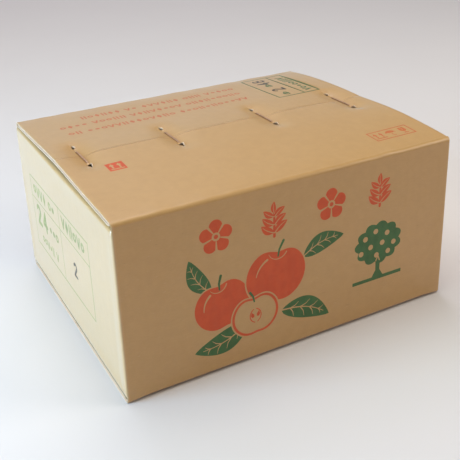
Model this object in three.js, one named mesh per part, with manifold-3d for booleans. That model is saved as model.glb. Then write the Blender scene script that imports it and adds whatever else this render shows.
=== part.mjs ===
// A corrugated cardboard fruit carton, closed and stapled: a regular slotted case with four walls,
// four top flaps, four bottom flaps and the glued lap inside one corner. The two long top flaps meet
// along the middle, where wide-crown carton staples hold them down on the short flaps underneath.
// Millimetres, +Z up. The origin is the middle of the underside; +X runs along the carton's length
// and -Y is its front. The panels are one folded sheet in the real carton: here each is a solid of
// its own, parted from the next by a hair's breadth on the crease line.
import * as THREE from "three";
import { mergeVertices } from "three/addons/utils/BufferGeometryUtils.js";
import Module from "manifold-3d";

// ---- Driving dimensions -------------------------------------------------------------------------
const LENGTH = 380; // outside, along X
const WIDTH = 312; // outside, along Y
const HEIGHT = 188; // floor to the top of the long creases
const BOARD = 5; // A-flute board
const CREASE_RADIUS = 4.5; // outside of a folded flap crease
const CORNER_RADIUS = 2.5; // outside of an upright crease
const CREASE_GAP = 0.05; // the hair's breadth between two panels of the sheet
const STACK_GAP = 0.3; // between boards that lie on each other

const SLOT_INSET = 1.5; // how far a long flap's cut end stops short of the end wall's outer face
const SLOT_DEPTH = 6; // how far down the corner slot is cut
const SEAM_GAP = 0.8; // between the long flaps where they meet
const SHORT_FLAP_REACH = 156; // of a short flap, from the end wall's outer face
const SHORT_FLAP_CLEARANCE = 2.5; // between a short flap's cut side and the long wall

const TENT_MIDDLE = 6; // how far the full carton pushes the seam up, halfway along
const TENT_END = 5; // and at either end
const RIGHT_ARCH = 3.4; // how far each long flap bows up at its right end, between crease and seam
const SHORT_FLAP_RISE = 2.4; // how far a short flap's free edge is pushed up

const LAP_WIDTH = 35; // the glued lap, on the inside of the back wall
const LAP_END_CLEARANCE = 2; // between the lap and the short flaps above and below it

const CROWN = 35; // a carton staple's width over its legs
const WIRE_WIDTH = 2.3;
const WIRE_THICKNESS = 0.9;
const CLINCH = 6; // how far each leg is turned in under the boards
const LEG_BEND_RADIUS = 1.6; // outside of the bend between leg and clinch
const CROWN_BEND_RADIUS = 1.2;
const WIRE_CLEARANCE = 0.3;
const CROWN_SEAT = 0.12; // clearance under the crown

// Along X, and the level that the crown pulls the flaps down to, above the long creases.
const TOP_STAPLES = [
  { x: -160.5, seat: 1.3 },
  { x: -60, seat: 2.3 },
  { x: 55, seat: 2.3 },
  { x: 161, seat: 1.8 },
];
const BOTTOM_STAPLES_X = [-155, -50, 50, 155];
const DIP_HALF_WIDTH = 14; // the V that a top staple presses into the flaps, across the wire
const DIP_FLOOR_HALF = 1.6;
const DIP_POWER = 1.5;
const DIP_SHOULDER = 5; // an extra grid line on the slope of the V
const DIP_FULL = 21; // along the wire, from its middle: full depth to here,
const DIP_EASE = [26, 32]; // extra grid lines where it fades,
const DIP_END = 38; // and none past here
const CRUSH_HALF_WIDTH = 6; // the groove that a bottom staple presses into the underside
const CRUSH_DEPTH = 1.3;
const CRUSH_FULL = 19;
const CRUSH_END = 23;

// The clincher's two hooks leave a hole in the boards beyond each end of a top staple.
const HOOK_HOLE_REACH = 29.5; // from the middle of the pair to each hole's own middle
const HOOK_HOLE_SHIFT = 2; // the pair sits a little behind the staple's middle
const HOOK_HOLE_LENGTH = 12.5;
const HOOK_HOLE_WIDTH = 3.6;

const ARC_STEPS = 5; // sides on each rounded crease, bend and hole
const TOP_GRID = [36, 40]; // the widest grid cells of a long top flap, along X and Y,
const SHORT_GRID = [40, 50]; // of a short top flap,
const BOTTOM_GRID = [60, 160]; // and of a long bottom flap
const GRID_EDGE = 0.5; // no grid line falls nearer than this to a flap's own edge

const HALF_LENGTH = LENGTH / 2;
const HALF_WIDTH = WIDTH / 2;
const INNER_X = HALF_LENGTH - BOARD;
const INNER_Y = HALF_WIDTH - BOARD;
const END_WALL_TOP = HEIGHT - BOARD - STACK_GAP;
const END_WALL_BOTTOM = BOARD + STACK_GAP;
const LONG_FLAP_HALF = HALF_LENGTH - SLOT_INSET;
const SHORT_FLAP_HALF = INNER_Y - SHORT_FLAP_CLEARANCE;

const QUARTER_TURN = Math.PI / 2;
const EIGHTH_TURN = Math.PI / 4;
const EXTRUSION = { bevelEnabled: false, curveSegments: ARC_STEPS };

const KRAFT = { color: 0xc4a079, roughness: 0.86, metalness: 0 };
const WIRE = { color: 0xa9714b, roughness: 0.38, metalness: 0.9 };

// ---- Solids -------------------------------------------------------------------------------------
const wasm = await Module();
wasm.setup();

// A closed three.js geometry as a manifold-3d solid.
function solidOf(geometry) {
  const bare = geometry.index ? geometry.toNonIndexed() : geometry.clone();
  bare.deleteAttribute("normal");
  bare.deleteAttribute("uv");
  const merged = mergeVertices(bare, 1e-4);
  return new wasm.Manifold(
    new wasm.Mesh({
      numProp: 3,
      vertProperties: new Float32Array(merged.attributes.position.array),
      triVerts: new Uint32Array(merged.index.array),
    }),
  );
}

// A manifold-3d solid as a named three.js mesh.
function meshOf(name, solid, finish) {
  const { vertProperties, triVerts } = solid.getMesh();
  const geometry = new THREE.BufferGeometry()
    .setAttribute("position", new THREE.BufferAttribute(vertProperties, 3))
    .setIndex(new THREE.BufferAttribute(triVerts, 1));
  geometry.computeVertexNormals();
  const mesh = new THREE.Mesh(geometry, new THREE.MeshStandardMaterial(finish));
  mesh.name = name;
  return mesh;
}

// A shape drawn in X and Y, as a prism from z = low to z = high.
function uprightPrism(shape, low, high) {
  const geometry = new THREE.ExtrudeGeometry(shape, { ...EXTRUSION, depth: high - low });
  return solidOf(geometry.translate(0, 0, low));
}

// A shape drawn in Y and Z, as a prism along X that is `run` long and centred on x = middle.
function lengthwisePrism(shape, run, middle = 0) {
  const geometry = new THREE.ExtrudeGeometry(shape, { ...EXTRUSION, depth: run });
  const toYZ = new THREE.Matrix4().makeBasis(
    new THREE.Vector3(0, 1, 0),
    new THREE.Vector3(0, 0, 1),
    new THREE.Vector3(1, 0, 0),
  );
  return solidOf(geometry.translate(0, 0, -run / 2).applyMatrix4(toYZ).translate(middle, 0, 0));
}

function block(width, depth, height, x, y, z) {
  return solidOf(new THREE.BoxGeometry(width, depth, height).translate(x, y, z));
}

// A sheet on a grid of x and y lines, between two height formulas.
function sheet(xs, ys, under, over) {
  const columns = xs.length - 1;
  const rows = ys.length - 1;
  const geometry = new THREE.BoxGeometry(1, 1, 1, columns, rows, 1);
  const position = geometry.attributes.position;
  for (let i = 0; i < position.count; i++) {
    const x = xs[Math.round((position.getX(i) + 0.5) * columns)];
    const y = ys[Math.round((position.getY(i) + 0.5) * rows)];
    position.setXYZ(i, x, y, position.getZ(i) > 0 ? over(x, y) : under(x, y));
  }
  return solidOf(geometry);
}

// Grid lines from `from` to `to`, with more of them at set distances on both sides of each centre.
function gridLines(from, to, spacing, centres, offsets) {
  const near = centres.flatMap((c) => offsets.flatMap((o) => [c - o, c + o]));
  const even = [];
  const count = Math.max(1, Math.round((to - from) / spacing));
  for (let i = 1; i < count; i++) even.push(from + ((to - from) * i) / count);
  const inside = (v) => v > from + GRID_EDGE && v < to - GRID_EDGE;
  const clear = (v) => near.every((n) => Math.abs(n - v) > spacing / 6);
  const lines = [from, ...near.filter(inside), ...even.filter((v) => inside(v) && clear(v)), to];
  return [...new Set(lines)].sort((a, b) => a - b);
}

// ---- The walls ----------------------------------------------------------------------------------

// Plan of a wall that runs along the drawing's X at y = -halfAcross: both ends are mitred on the
// upright creases and carry half of each rounded corner.
function wallPlan(halfRun, halfAcross) {
  const trim = CREASE_GAP / CORNER_RADIUS;
  const x = halfRun - CORNER_RADIUS;
  const y = -(halfAcross - CORNER_RADIUS);
  const down = 3 * QUARTER_TURN;
  const plan = new THREE.Shape();
  plan.absarc(-x, y, CORNER_RADIUS, down - EIGHTH_TURN + trim, down, false);
  plan.absarc(x, y, CORNER_RADIUS, down, down + EIGHTH_TURN - trim, false);
  plan.lineTo(halfRun - BOARD - CREASE_GAP, -(halfAcross - BOARD));
  plan.lineTo(-(halfRun - BOARD - CREASE_GAP), -(halfAcross - BOARD));
  plan.closePath();
  return plan;
}

// Section of the same wall, across its run: flat sides, and a rounded crease above and below.
function wallSection(halfAcross, low, high) {
  const outer = -halfAcross;
  const inner = outer + BOARD;
  const r = CREASE_RADIUS;
  const section = new THREE.Shape();
  section.absarc(outer + r, high - r, r, 2 * QUARTER_TURN, QUARTER_TURN, true);
  section.lineTo(inner, high);
  section.lineTo(inner, low);
  section.absarc(outer + r, low + r, r, 3 * QUARTER_TURN, 2 * QUARTER_TURN, true);
  section.closePath();
  return section;
}

function wall(halfRun, halfAcross, low, high) {
  const plan = uprightPrism(wallPlan(halfRun, halfAcross), low - 1, high + 1);
  return plan.intersect(lengthwisePrism(wallSection(halfAcross, low, high), 2 * halfRun + 2));
}

// A long wall stands to the full height between the corner slots, which end a little way down.
function longWall() {
  let made = wall(HALF_LENGTH, HALF_WIDTH, 0, HEIGHT);
  const across = 4 * BOARD;
  const slotWidth = 2 * SLOT_INSET;
  for (const side of [-1, 1])
    for (const end of [0, HEIGHT])
      made = made.subtract(
        block(slotWidth, across, 2 * SLOT_DEPTH, side * HALF_LENGTH, -HALF_WIDTH, end),
      );
  return made;
}

function turned(solid, degrees) {
  return solid.rotate([0, 0, degrees]);
}

// ---- The flaps ----------------------------------------------------------------------------------

// 1 in the middle, 0 past `end`, flat to `full` and eased between.
function plateau(distance, full, end) {
  return 1 - THREE.MathUtils.smoothstep(distance, full, end);
}

function clamp01(value) {
  return THREE.MathUtils.clamp(value, 0, 1);
}

// How strongly a top staple holds the boards at a point, from 0 to 1.
function grip(staple, x, y) {
  const past = Math.max(0, Math.abs(x - staple.x) - DIP_FLOOR_HALF);
  const across = clamp01(past / (DIP_HALF_WIDTH - DIP_FLOOR_HALF));
  const along = plateau(Math.abs(y), DIP_FULL, DIP_END);
  return (1 - across) ** DIP_POWER * along;
}

// The closed top: two planes that rise from the creases to the seam, dipped at each staple.
function topSurface(x, y) {
  const rise = TENT_END + (TENT_MIDDLE - TENT_END) * (1 - (x / HALF_LENGTH) ** 2);
  const share = clamp01(1 - Math.abs(y) / INNER_Y);
  const arch = RIGHT_ARCH * clamp01((x + HALF_LENGTH) / LENGTH) ** 3 * Math.sin(Math.PI * share);
  let level = rise * share + arch;
  for (const staple of TOP_STAPLES) level += (staple.seat - level) * grip(staple, x, y);
  return HEIGHT + level;
}

// The upper face of a short top flap, which lies under the long ones.
function shortFlapSurface(x, y) {
  const out = clamp01((HALF_LENGTH - Math.abs(x)) / SHORT_FLAP_REACH);
  return END_WALL_TOP + SHORT_FLAP_RISE * out * clamp01(1 - Math.abs(y) / INNER_Y);
}

// A hole pressed by one of the clincher's hooks: round on the staple's side, pointed outwards.
function hookHole(x, y, outwards) {
  const r = HOOK_HOLE_WIDTH / 2;
  const round = y - outwards * (HOOK_HOLE_LENGTH / 2 - r);
  const tip = y + (outwards * HOOK_HOLE_LENGTH) / 2;
  const outline = new THREE.Shape();
  const start = outwards < 0 ? 0 : Math.PI;
  outline.absarc(x, round, r, start, start + Math.PI, false);
  outline.lineTo(x, tip);
  outline.closePath();
  return uprightPrism(outline, HEIGHT - 4 * BOARD, HEIGHT + 3 * BOARD);
}

// The slits that a staple's two legs pass through.
function legSlits(x, z) {
  const reach = (CROWN - WIRE_THICKNESS) / 2;
  return [-1, 1].map((side) =>
    block(
      WIRE_WIDTH + 2 * WIRE_CLEARANCE,
      WIRE_THICKNESS + 2 * WIRE_CLEARANCE,
      8 * BOARD,
      x,
      side * reach,
      z,
    ),
  );
}

function withoutAll(solid, cutters) {
  return cutters.reduce((left, cutter) => left.subtract(cutter), solid);
}

function topCutters() {
  return TOP_STAPLES.flatMap(({ x }) => [
    ...legSlits(x, HEIGHT),
    hookHole(x, HOOK_HOLE_SHIFT - HOOK_HOLE_REACH, -1),
    hookHole(x, HOOK_HOLE_SHIFT + HOOK_HOLE_REACH, 1),
  ]);
}

function bottomCutters() {
  return BOTTOM_STAPLES_X.flatMap((x) => legSlits(x, 0));
}

// A long flap runs from its crease to the seam, a short one from its crease to its free edge. Both
// return the span's lower end first. side is -1 for the front or left, 1 for the back or right.
function longFlapSpan(side) {
  return [side * (INNER_Y - CREASE_GAP), (side * SEAM_GAP) / 2].sort((a, b) => a - b);
}

function shortFlapSpan(side) {
  const crease = side * (INNER_X - CREASE_GAP);
  return [crease, side * (HALF_LENGTH - SHORT_FLAP_REACH)].sort((a, b) => a - b);
}

function longTopFlap(side) {
  const staples = TOP_STAPLES.map(({ x }) => x);
  const slopes = [DIP_FLOOR_HALF, DIP_SHOULDER, DIP_HALF_WIDTH];
  const fades = [DIP_FULL, ...DIP_EASE, DIP_END];
  const xs = gridLines(-LONG_FLAP_HALF, LONG_FLAP_HALF, TOP_GRID[0], staples, slopes);
  const ys = gridLines(...longFlapSpan(side), TOP_GRID[1], [0], fades);
  const flap = sheet(xs, ys, (x, y) => topSurface(x, y) - BOARD, topSurface);
  return withoutAll(flap, topCutters());
}

function shortTopFlap(side) {
  const xs = gridLines(...shortFlapSpan(side), SHORT_GRID[0], [], []);
  const ys = gridLines(-SHORT_FLAP_HALF, SHORT_FLAP_HALF, SHORT_GRID[1], [0], [0]);
  const flap = sheet(xs, ys, (x, y) => shortFlapSurface(x, y) - BOARD, shortFlapSurface);
  return withoutAll(flap, topCutters());
}

// How far the underside is pressed in at a bottom staple.
function crush(x, y) {
  const nearest = Math.min(...BOTTOM_STAPLES_X.map((staple) => Math.abs(x - staple)));
  const across = plateau(nearest, DIP_FLOOR_HALF, CRUSH_HALF_WIDTH);
  return CRUSH_DEPTH * across * plateau(Math.abs(y), CRUSH_FULL, CRUSH_END);
}

function longBottomFlap(side) {
  const groove = [DIP_FLOOR_HALF, CRUSH_HALF_WIDTH];
  const fade = [CRUSH_FULL, CRUSH_END];
  const xs = gridLines(-LONG_FLAP_HALF, LONG_FLAP_HALF, BOTTOM_GRID[0], BOTTOM_STAPLES_X, groove);
  const ys = gridLines(...longFlapSpan(side), BOTTOM_GRID[1], [0], fade);
  return withoutAll(sheet(xs, ys, crush, () => BOARD), bottomCutters());
}

function shortBottomFlap(side) {
  const [low, high] = shortFlapSpan(side);
  const z = END_WALL_BOTTOM + BOARD / 2;
  const flap = block(high - low, 2 * SHORT_FLAP_HALF, BOARD, (low + high) / 2, 0, z);
  return withoutAll(flap, bottomCutters());
}

// The lap hangs from the right end wall's back crease, glued flat on the inside of the back wall.
function gluedLap() {
  const low = END_WALL_BOTTOM + BOARD + LAP_END_CLEARANCE;
  const high = END_WALL_TOP - BOARD - LAP_END_CLEARANCE;
  return block(
    LAP_WIDTH,
    BOARD,
    high - low,
    INNER_X - CREASE_GAP - LAP_WIDTH / 2,
    INNER_Y - CREASE_GAP - BOARD / 2,
    (low + high) / 2,
  );
}

// ---- The staples --------------------------------------------------------------------------------

// Side view of a driven staple, in Y and Z: crown at the top, both legs turned in at the bottom.
// `top` is the crown's upper face and `clinchTop` the level the turned-in legs stop under.
function stapleOutline(top, clinchTop) {
  const half = CROWN / 2;
  const low = clinchTop - WIRE_THICKNESS;
  const crownInner = CROWN_BEND_RADIUS - WIRE_THICKNESS;
  const bendInner = LEG_BEND_RADIUS - WIRE_THICKNESS;
  const q = QUARTER_TURN;
  const outline = new THREE.Shape();
  const turn = (side, inset, level, radius, from, to) =>
    outline.absarc(side * (half - inset), level, radius, from * q, to * q, to < from);
  turn(1, CROWN_BEND_RADIUS, top - CROWN_BEND_RADIUS, CROWN_BEND_RADIUS, 1, 0);
  turn(1, LEG_BEND_RADIUS, low + LEG_BEND_RADIUS, LEG_BEND_RADIUS, 0, -1);
  outline.lineTo(half - CLINCH, low);
  outline.lineTo(half - CLINCH, clinchTop);
  turn(1, LEG_BEND_RADIUS, low + LEG_BEND_RADIUS, bendInner, -1, 0);
  turn(1, CROWN_BEND_RADIUS, top - CROWN_BEND_RADIUS, crownInner, 0, 1);
  turn(-1, CROWN_BEND_RADIUS, top - CROWN_BEND_RADIUS, crownInner, 1, 2);
  turn(-1, LEG_BEND_RADIUS, low + LEG_BEND_RADIUS, bendInner, 2, 3);
  outline.lineTo(CLINCH - half, clinchTop);
  outline.lineTo(CLINCH - half, low);
  turn(-1, LEG_BEND_RADIUS, low + LEG_BEND_RADIUS, LEG_BEND_RADIUS, 3, 2);
  turn(-1, CROWN_BEND_RADIUS, top - CROWN_BEND_RADIUS, CROWN_BEND_RADIUS, 2, 1);
  outline.closePath();
  return outline;
}

function topStaple({ x, seat }) {
  const top = HEIGHT + seat + CROWN_SEAT + WIRE_THICKNESS;
  const clinchTop = shortFlapSurface(x, CROWN / 2) - BOARD - WIRE_CLEARANCE;
  return lengthwisePrism(stapleOutline(top, clinchTop), WIRE_WIDTH, x);
}

// The same staple driven up from below, its crown sunk in the underside.
function bottomStaple(x) {
  const crownBottom = CRUSH_DEPTH - CROWN_SEAT - WIRE_THICKNESS;
  const clinchUnder = END_WALL_BOTTOM + BOARD + WIRE_CLEARANCE;
  const upright = lengthwisePrism(stapleOutline(-crownBottom, -clinchUnder), WIRE_WIDTH, x);
  return upright.rotate([180, 0, 0]);
}

// ---- The carton ---------------------------------------------------------------------------------
const carton = new THREE.Group();
carton.name = "fruit_carton";
const add = (name, solid, finish = KRAFT) => carton.add(meshOf(name, solid, finish));

const endWall = () => wall(HALF_WIDTH, HALF_LENGTH, END_WALL_BOTTOM, END_WALL_TOP);
add("front_wall", longWall());
add("back_wall", turned(longWall(), 180));
add("left_wall", turned(endWall(), -90));
add("right_wall", turned(endWall(), 90));
add("glued_lap", gluedLap());

add("top_front_flap", longTopFlap(-1));
add("top_back_flap", longTopFlap(1));
add("top_left_flap", shortTopFlap(-1));
add("top_right_flap", shortTopFlap(1));
add("bottom_front_flap", longBottomFlap(-1));
add("bottom_back_flap", longBottomFlap(1));
add("bottom_left_flap", shortBottomFlap(-1));
add("bottom_right_flap", shortBottomFlap(1));

TOP_STAPLES.forEach((staple, i) => add(`top_staple_${i + 1}`, topStaple(staple), WIRE));
BOTTOM_STAPLES_X.forEach((x, i) => add(`bottom_staple_${i + 1}`, bottomStaple(x), WIRE));

export default carton;
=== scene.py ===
"""Looks of a closed and stapled corrugated carton for fruit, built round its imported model.

The carton is one folded sheet of single-wall board. Each panel here is real board: an outer liner,
a fluted paper and an inner liner, with the creases, the slots at the corners, the dips under the
staples and the holes of the clincher's hooks pressed or cut into it. The printing is cut into the
outer liner as faces of its own. Sizes are in millimetres, and PieceMesh turns them into metres.
"""
from __future__ import annotations

import logging
import math
from dataclasses import dataclass, field
from enum import IntEnum
from typing import Callable, Iterable, Sequence

import bpy
import numpy as np
from mathutils import Matrix, Vector
from mathutils.geometry import delaunay_2d_cdt


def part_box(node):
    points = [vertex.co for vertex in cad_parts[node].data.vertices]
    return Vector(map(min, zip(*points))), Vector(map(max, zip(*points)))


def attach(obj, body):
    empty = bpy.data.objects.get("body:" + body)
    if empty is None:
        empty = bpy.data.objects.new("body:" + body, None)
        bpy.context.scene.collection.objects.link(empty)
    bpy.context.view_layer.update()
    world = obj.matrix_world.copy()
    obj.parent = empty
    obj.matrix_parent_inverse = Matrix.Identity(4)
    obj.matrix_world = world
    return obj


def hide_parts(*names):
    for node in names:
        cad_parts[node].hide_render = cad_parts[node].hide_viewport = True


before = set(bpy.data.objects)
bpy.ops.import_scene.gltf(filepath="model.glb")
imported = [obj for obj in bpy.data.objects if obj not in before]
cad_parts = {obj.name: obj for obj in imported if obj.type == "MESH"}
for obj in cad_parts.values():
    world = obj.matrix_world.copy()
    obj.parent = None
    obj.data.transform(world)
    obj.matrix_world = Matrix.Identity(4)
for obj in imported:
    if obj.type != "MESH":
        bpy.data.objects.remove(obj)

Array = np.ndarray
Point = tuple[float, float]
Colour = tuple[float, float, float]

MM = 0.001
TINY = 1e-12
BODY = "root"
STAPLE_NUMBERS = (1, 2, 3, 4)
log = logging.getLogger("carton")


# ---- Small maths ----------------------------------------------------------------------------------


def smooth(value: Array, low: float, high: float) -> Array:
    """Eases from 0 at `low` to 1 at `high`."""
    x = np.clip((value - low) / (high - low), 0, 1)
    return x * x * (3 - 2 * x)


def fading(distance: Array, reach: float) -> Array:
    """Falls from 1 where the distance is 0, ever more gently, to 0 at `reach`."""
    return np.clip(1 - distance / reach, 0, 1) ** 2


def unit(vectors: Array) -> Array:
    """Rows of vectors, each brought to length 1."""
    return vectors / np.maximum(np.linalg.norm(vectors, axis=1, keepdims=True), TINY)


def steps(*runs: tuple[float, float, float]) -> Array:
    """Grid lines along several runs.

    Args:
        runs: (start, end, step) of each run, in millimetres.

    Returns:
        The lines of all runs in order, with no two closer than a tenth of a millimetre.
    """
    parts = [np.linspace(a, b, max(2, round(abs(b - a) / step) + 1)) for a, b, step in runs]
    return np.unique(np.concatenate(parts).round(1))


def grid(s_lines: Array, t_lines: Array) -> Array:
    """All crossings of two sets of grid lines, as rows of (s, t)."""
    s, t = np.meshgrid(s_lines, t_lines)
    return np.stack([s.ravel(), t.ravel()], axis=1)


class Ripple:
    """A smooth, seeded waviness along one or two directions, from about -1 to 1."""

    TERMS = 7
    SPREAD = (0.6, 1.9)

    def __init__(self, seed: int, wavelength: float) -> None:
        """Draws the waves.

        Args:
            seed: sets their directions, lengths and phases.
            wavelength: their usual length, in millimetres.
        """
        rng = np.random.default_rng(seed)
        angle = rng.uniform(0, 2 * math.pi, self.TERMS)
        turns = rng.uniform(*self.SPREAD, self.TERMS) * 2 * math.pi / wavelength
        self.kx = turns * np.cos(angle)
        self.ky = turns * np.sin(angle)
        self.phase = rng.uniform(0, 2 * math.pi, self.TERMS)

    def __call__(self, x: Array, y: Array | float = 0.0) -> Array:
        """The waviness at each point.

        Args:
            x: where the points are in one direction.
            y: where they are in the other.

        Returns:
            The height of the waves there.
        """
        x, y = np.broadcast_arrays(np.asarray(x, float), np.asarray(y, float))
        waves = np.sin(x[..., None] * self.kx + y[..., None] * self.ky + self.phase)
        return waves.sum(-1) / math.sqrt(3 * len(self.phase))


# ---- Sizes ----------------------------------------------------------------------------------------


def span(node: str) -> tuple[Array, Array]:
    """The lowest and highest corner of a CAD node, in millimetres."""
    low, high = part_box(node)
    return np.array(low) / MM, np.array(high) / MM


def top_of(node: str, axis: int) -> float:
    """Where a CAD node ends along an axis, in millimetres."""
    return float(span(node)[1][axis])


@dataclass(frozen=True)
class Board:
    """Single-wall board and how it folds."""

    thickness: float = 5.0
    liner: float = 0.45
    medium: float = 0.3
    pitch: float = 8.8
    crease_radius: float = 4.5
    corner_radius: float = 2.5
    pinch: float = 2.2
    pinch_reach: float = 4.5
    crush: float = 0.7
    crush_reach: float = 3.0

    @property
    def flap_start(self) -> float:
        """How far a flap's flat part starts from the middle of its crease, along the board."""
        return self.crease_radius * math.pi / 4 + self.thickness - self.crease_radius

    def creased(self, distance: Array) -> Array:
        """The board's thickness at a distance from the middle of a crease."""
        return self.thickness - self.pinch * np.exp(-((distance / self.pinch_reach) ** 2))

    def crushed(self, distance: Array) -> Array:
        """How much thinner the board is at a distance from a cut edge."""
        return self.crush * fading(distance, self.crush_reach)


@dataclass(frozen=True)
class Footing:
    """How the long bottom creases stand off the floor, because the bottom bellies down a little."""

    lift: float = 1.6
    corner_reach: float = 26.0
    up_reach: float = 60.0
    in_reach: float = 45.0

    def along(self, from_end: Array) -> Array:
        """The lift at a distance from the carton's ends, from 0 to the full lift."""
        return self.lift * smooth(from_end, 0.0, self.corner_reach)


@dataclass(frozen=True)
class StapleWire:
    """The staples' flat wire, their crown and the slits that their legs make."""

    width: float = 2.3
    thickness: float = 0.9
    crown: float = 35.0
    seat: float = 0.12
    slit: Point = (2.9, 1.5)

    @property
    def leg(self) -> float:
        """How far each leg stands from the staple's middle."""
        return (self.crown - self.thickness) / 2


@dataclass(frozen=True)
class CartonSizes:
    """The carton's main sizes, read from its CAD nodes, and how the slots are cut."""

    half_length: float = top_of("front_wall", 0)
    half_width: float = top_of("back_wall", 1)
    height: float = top_of("front_wall", 2)
    end_top: float = top_of("left_wall", 2)
    end_bottom: float = float(span("left_wall")[0][2])
    flap_end: float = top_of("top_front_flap", 0)
    seam: float = -top_of("top_front_flap", 1)
    short_half: float = top_of("top_left_flap", 1)
    slot_depth: float = 6.0
    slot_margin: float = 2.0

    @property
    def inner_y(self) -> float:
        """Half the carton's inside width."""
        return self.half_width - BOARD.thickness

    @property
    def inner_x(self) -> float:
        """Half the carton's inside length."""
        return self.half_length - BOARD.thickness


BOARD = Board()
FOOTING = Footing()
WIRE = StapleWire()
SIZES = CartonSizes()


# ---- Outlines of printing, holes and panels ---------------------------------------------------------


class Ink(IntEnum):
    """What covers a face of the outer liner. BARE takes ink away again."""

    BARE = 0
    RED = 1
    GREEN = 2
    BLACK = 3
    FAINT_RED = 4
    # The pale green is the green ink with painted light: lightened for the brightly lit left end.
    FAINT_GREEN = 5


@dataclass(frozen=True)
class Mark:
    """One inked outline. Marks are laid in order, and the last one that covers a spot wins."""

    ink: Ink
    loop: Array


def inked(ink: Ink, *loops: Array) -> list[Mark]:
    """A mark of one ink for each loop."""
    return [Mark(ink, loop) for loop in loops]


def moved(loop: Array, x: float, y: float, degrees: float = 0.0, scale: float = 1.0) -> Array:
    """A loop scaled, turned and then moved.

    Args:
        loop: the points.
        x: how far it moves to the right.
        y: how far it moves up.
        degrees: how far it turns to the left.
        scale: how much larger it becomes.

    Returns:
        The new points.
    """
    a = math.radians(degrees)
    turn = np.array([[math.cos(a), math.sin(a)], [-math.sin(a), math.cos(a)]])
    return loop * scale @ turn + (x, y)


def laid_out(*items: tuple) -> list[Mark]:
    """Several motifs, each in its place.

    Args:
        items: for each motif its marks, followed by what `moved` takes after the loop.

    Returns:
        All their marks, in order.
    """
    return [Mark(mark.ink, moved(mark.loop, *where)) for marks, *where in items for mark in marks]


def disc(radius: float, x: float = 0.0, y: float = 0.0, sides: int = 36) -> Array:
    """A circle."""
    a = np.arange(sides) * 2 * math.pi / sides
    return np.stack([x + radius * np.cos(a), y + radius * np.sin(a)], axis=1)


def arc(radius: float, start: float, end: float, x: float = 0.0, y: float = 0.0, points: int = 14) -> Array:
    """Points along an arc, from and to an angle in degrees."""
    a = np.radians(np.linspace(start, end, points))
    return np.stack([x + radius * np.cos(a), y + radius * np.sin(a)], axis=1)


def rectangle(s_low: float, s_high: float, t_low: float, t_high: float) -> Array:
    """A rectangle between two columns and two rows."""
    return np.array([(s_low, t_low), (s_high, t_low), (s_high, t_high), (s_low, t_high)])


def box(width: float, height: float, x: float = 0.0, y: float = 0.0) -> Array:
    """A rectangle round its middle."""
    return rectangle(x - width / 2, x + width / 2, y - height / 2, y + height / 2)


def stroke(path: Sequence[Point] | Array, width: float, end_width: float | None = None) -> Array:
    """A brush stroke with round ends along a path.

    Args:
        path: points along the middle of the stroke.
        width: the stroke's width at its start.
        end_width: its width at its end, the same where none is given.

    Returns:
        The stroke's closed outline.
    """
    cap_points = 6
    line = np.asarray(path, float)
    last = width if end_width is None else end_width
    along = unit(np.gradient(line, axis=0))
    across = np.stack([-along[:, 1], along[:, 0]], axis=1)
    half = np.linspace(width, last, len(line))[:, None] / 2
    caps = np.linspace(-math.pi / 2, math.pi / 2, cap_points)[1:-1]

    def cap(end: int, sign: float) -> Array:
        """The round end at the path's first or last point."""
        turned = np.cos(caps)[:, None] * along[end] * sign + np.sin(caps)[:, None] * across[end] * sign
        return line[end] + turned * half[end]

    return np.concatenate([line - across * half, cap(-1, 1), (line + across * half)[::-1], cap(0, -1)])


def frame_marks(ink: Ink, width: float, height: float, line: float) -> list[Mark]:
    """A plain rectangular frame round its middle."""
    return inked(ink, box(width, height)) + inked(Ink.BARE, box(width - 2 * line, height - 2 * line))


# ---- Motifs of the printing -------------------------------------------------------------------------


@dataclass(frozen=True)
class Leaf:
    """A pointed leaf with a midrib and side veins left bare, its stalk at the origin."""

    length: float = 52.0
    width: float = 21.0
    bend: float = 5.0
    veins: int = 4
    vein_width: float = 1.3
    vein_tip: float = 0.45
    vein_reach: float = 0.74
    first_vein: float = 0.16
    veined_share: float = 0.58
    rib_shares: Point = (-0.02, 0.86)

    def spine(self, share: Array) -> Array:
        """Points on the bent midrib, at shares of the leaf's length."""
        return np.stack([self.length * share, self.bend * np.sin(math.pi * share)], axis=1)

    def half_width(self, share: Array) -> Array:
        """Half the leaf's width at shares of its length."""
        return self.width / 2 * np.sin(math.pi * share**0.85) ** 0.8

    def blade(self) -> Array:
        """The leaf's edge.

        Returns:
            The points round it.
        """
        share = np.linspace(0, 1, 22)
        spine, half = self.spine(share), self.half_width(share)
        edge = np.stack([np.zeros_like(half), half], axis=1)
        return np.concatenate([spine - edge, (spine + edge)[-2:0:-1]])

    def vein(self, root: float, side: int) -> Array:
        """One side vein.

        Args:
            root: the share of the leaf's length at which it leaves the midrib.
            side: 1 for the upper half of the leaf and -1 for the lower.

        Returns:
            The vein's outline.
        """
        start = self.spine(np.array([root]))[0]
        reach = float(self.half_width(np.array([root + 0.1]))[0]) * self.vein_reach
        tip = start + (reach * 0.9, side * reach)
        middle = (start + tip) / 2 + (reach * 0.12, -side * reach * 0.06)
        return stroke([start, middle, tip], self.vein_width, self.vein_tip)

    def marks(self, ink: Ink = Ink.GREEN) -> list[Mark]:
        """The leaf with its midrib and veins.

        Args:
            ink: what the leaf is printed in.

        Returns:
            Its marks.
        """
        width = self.vein_width
        rib = stroke(self.spine(np.linspace(*self.rib_shares, 14)), width * 1.3, width * 0.5)
        roots = [self.first_vein + self.veined_share * k / max(1, self.veins - 1) for k in range(self.veins)]
        veins = [self.vein(root, side) for root in roots for side in (-1, 1)]
        return inked(ink, self.blade()) + inked(Ink.BARE, rib, *veins)


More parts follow.
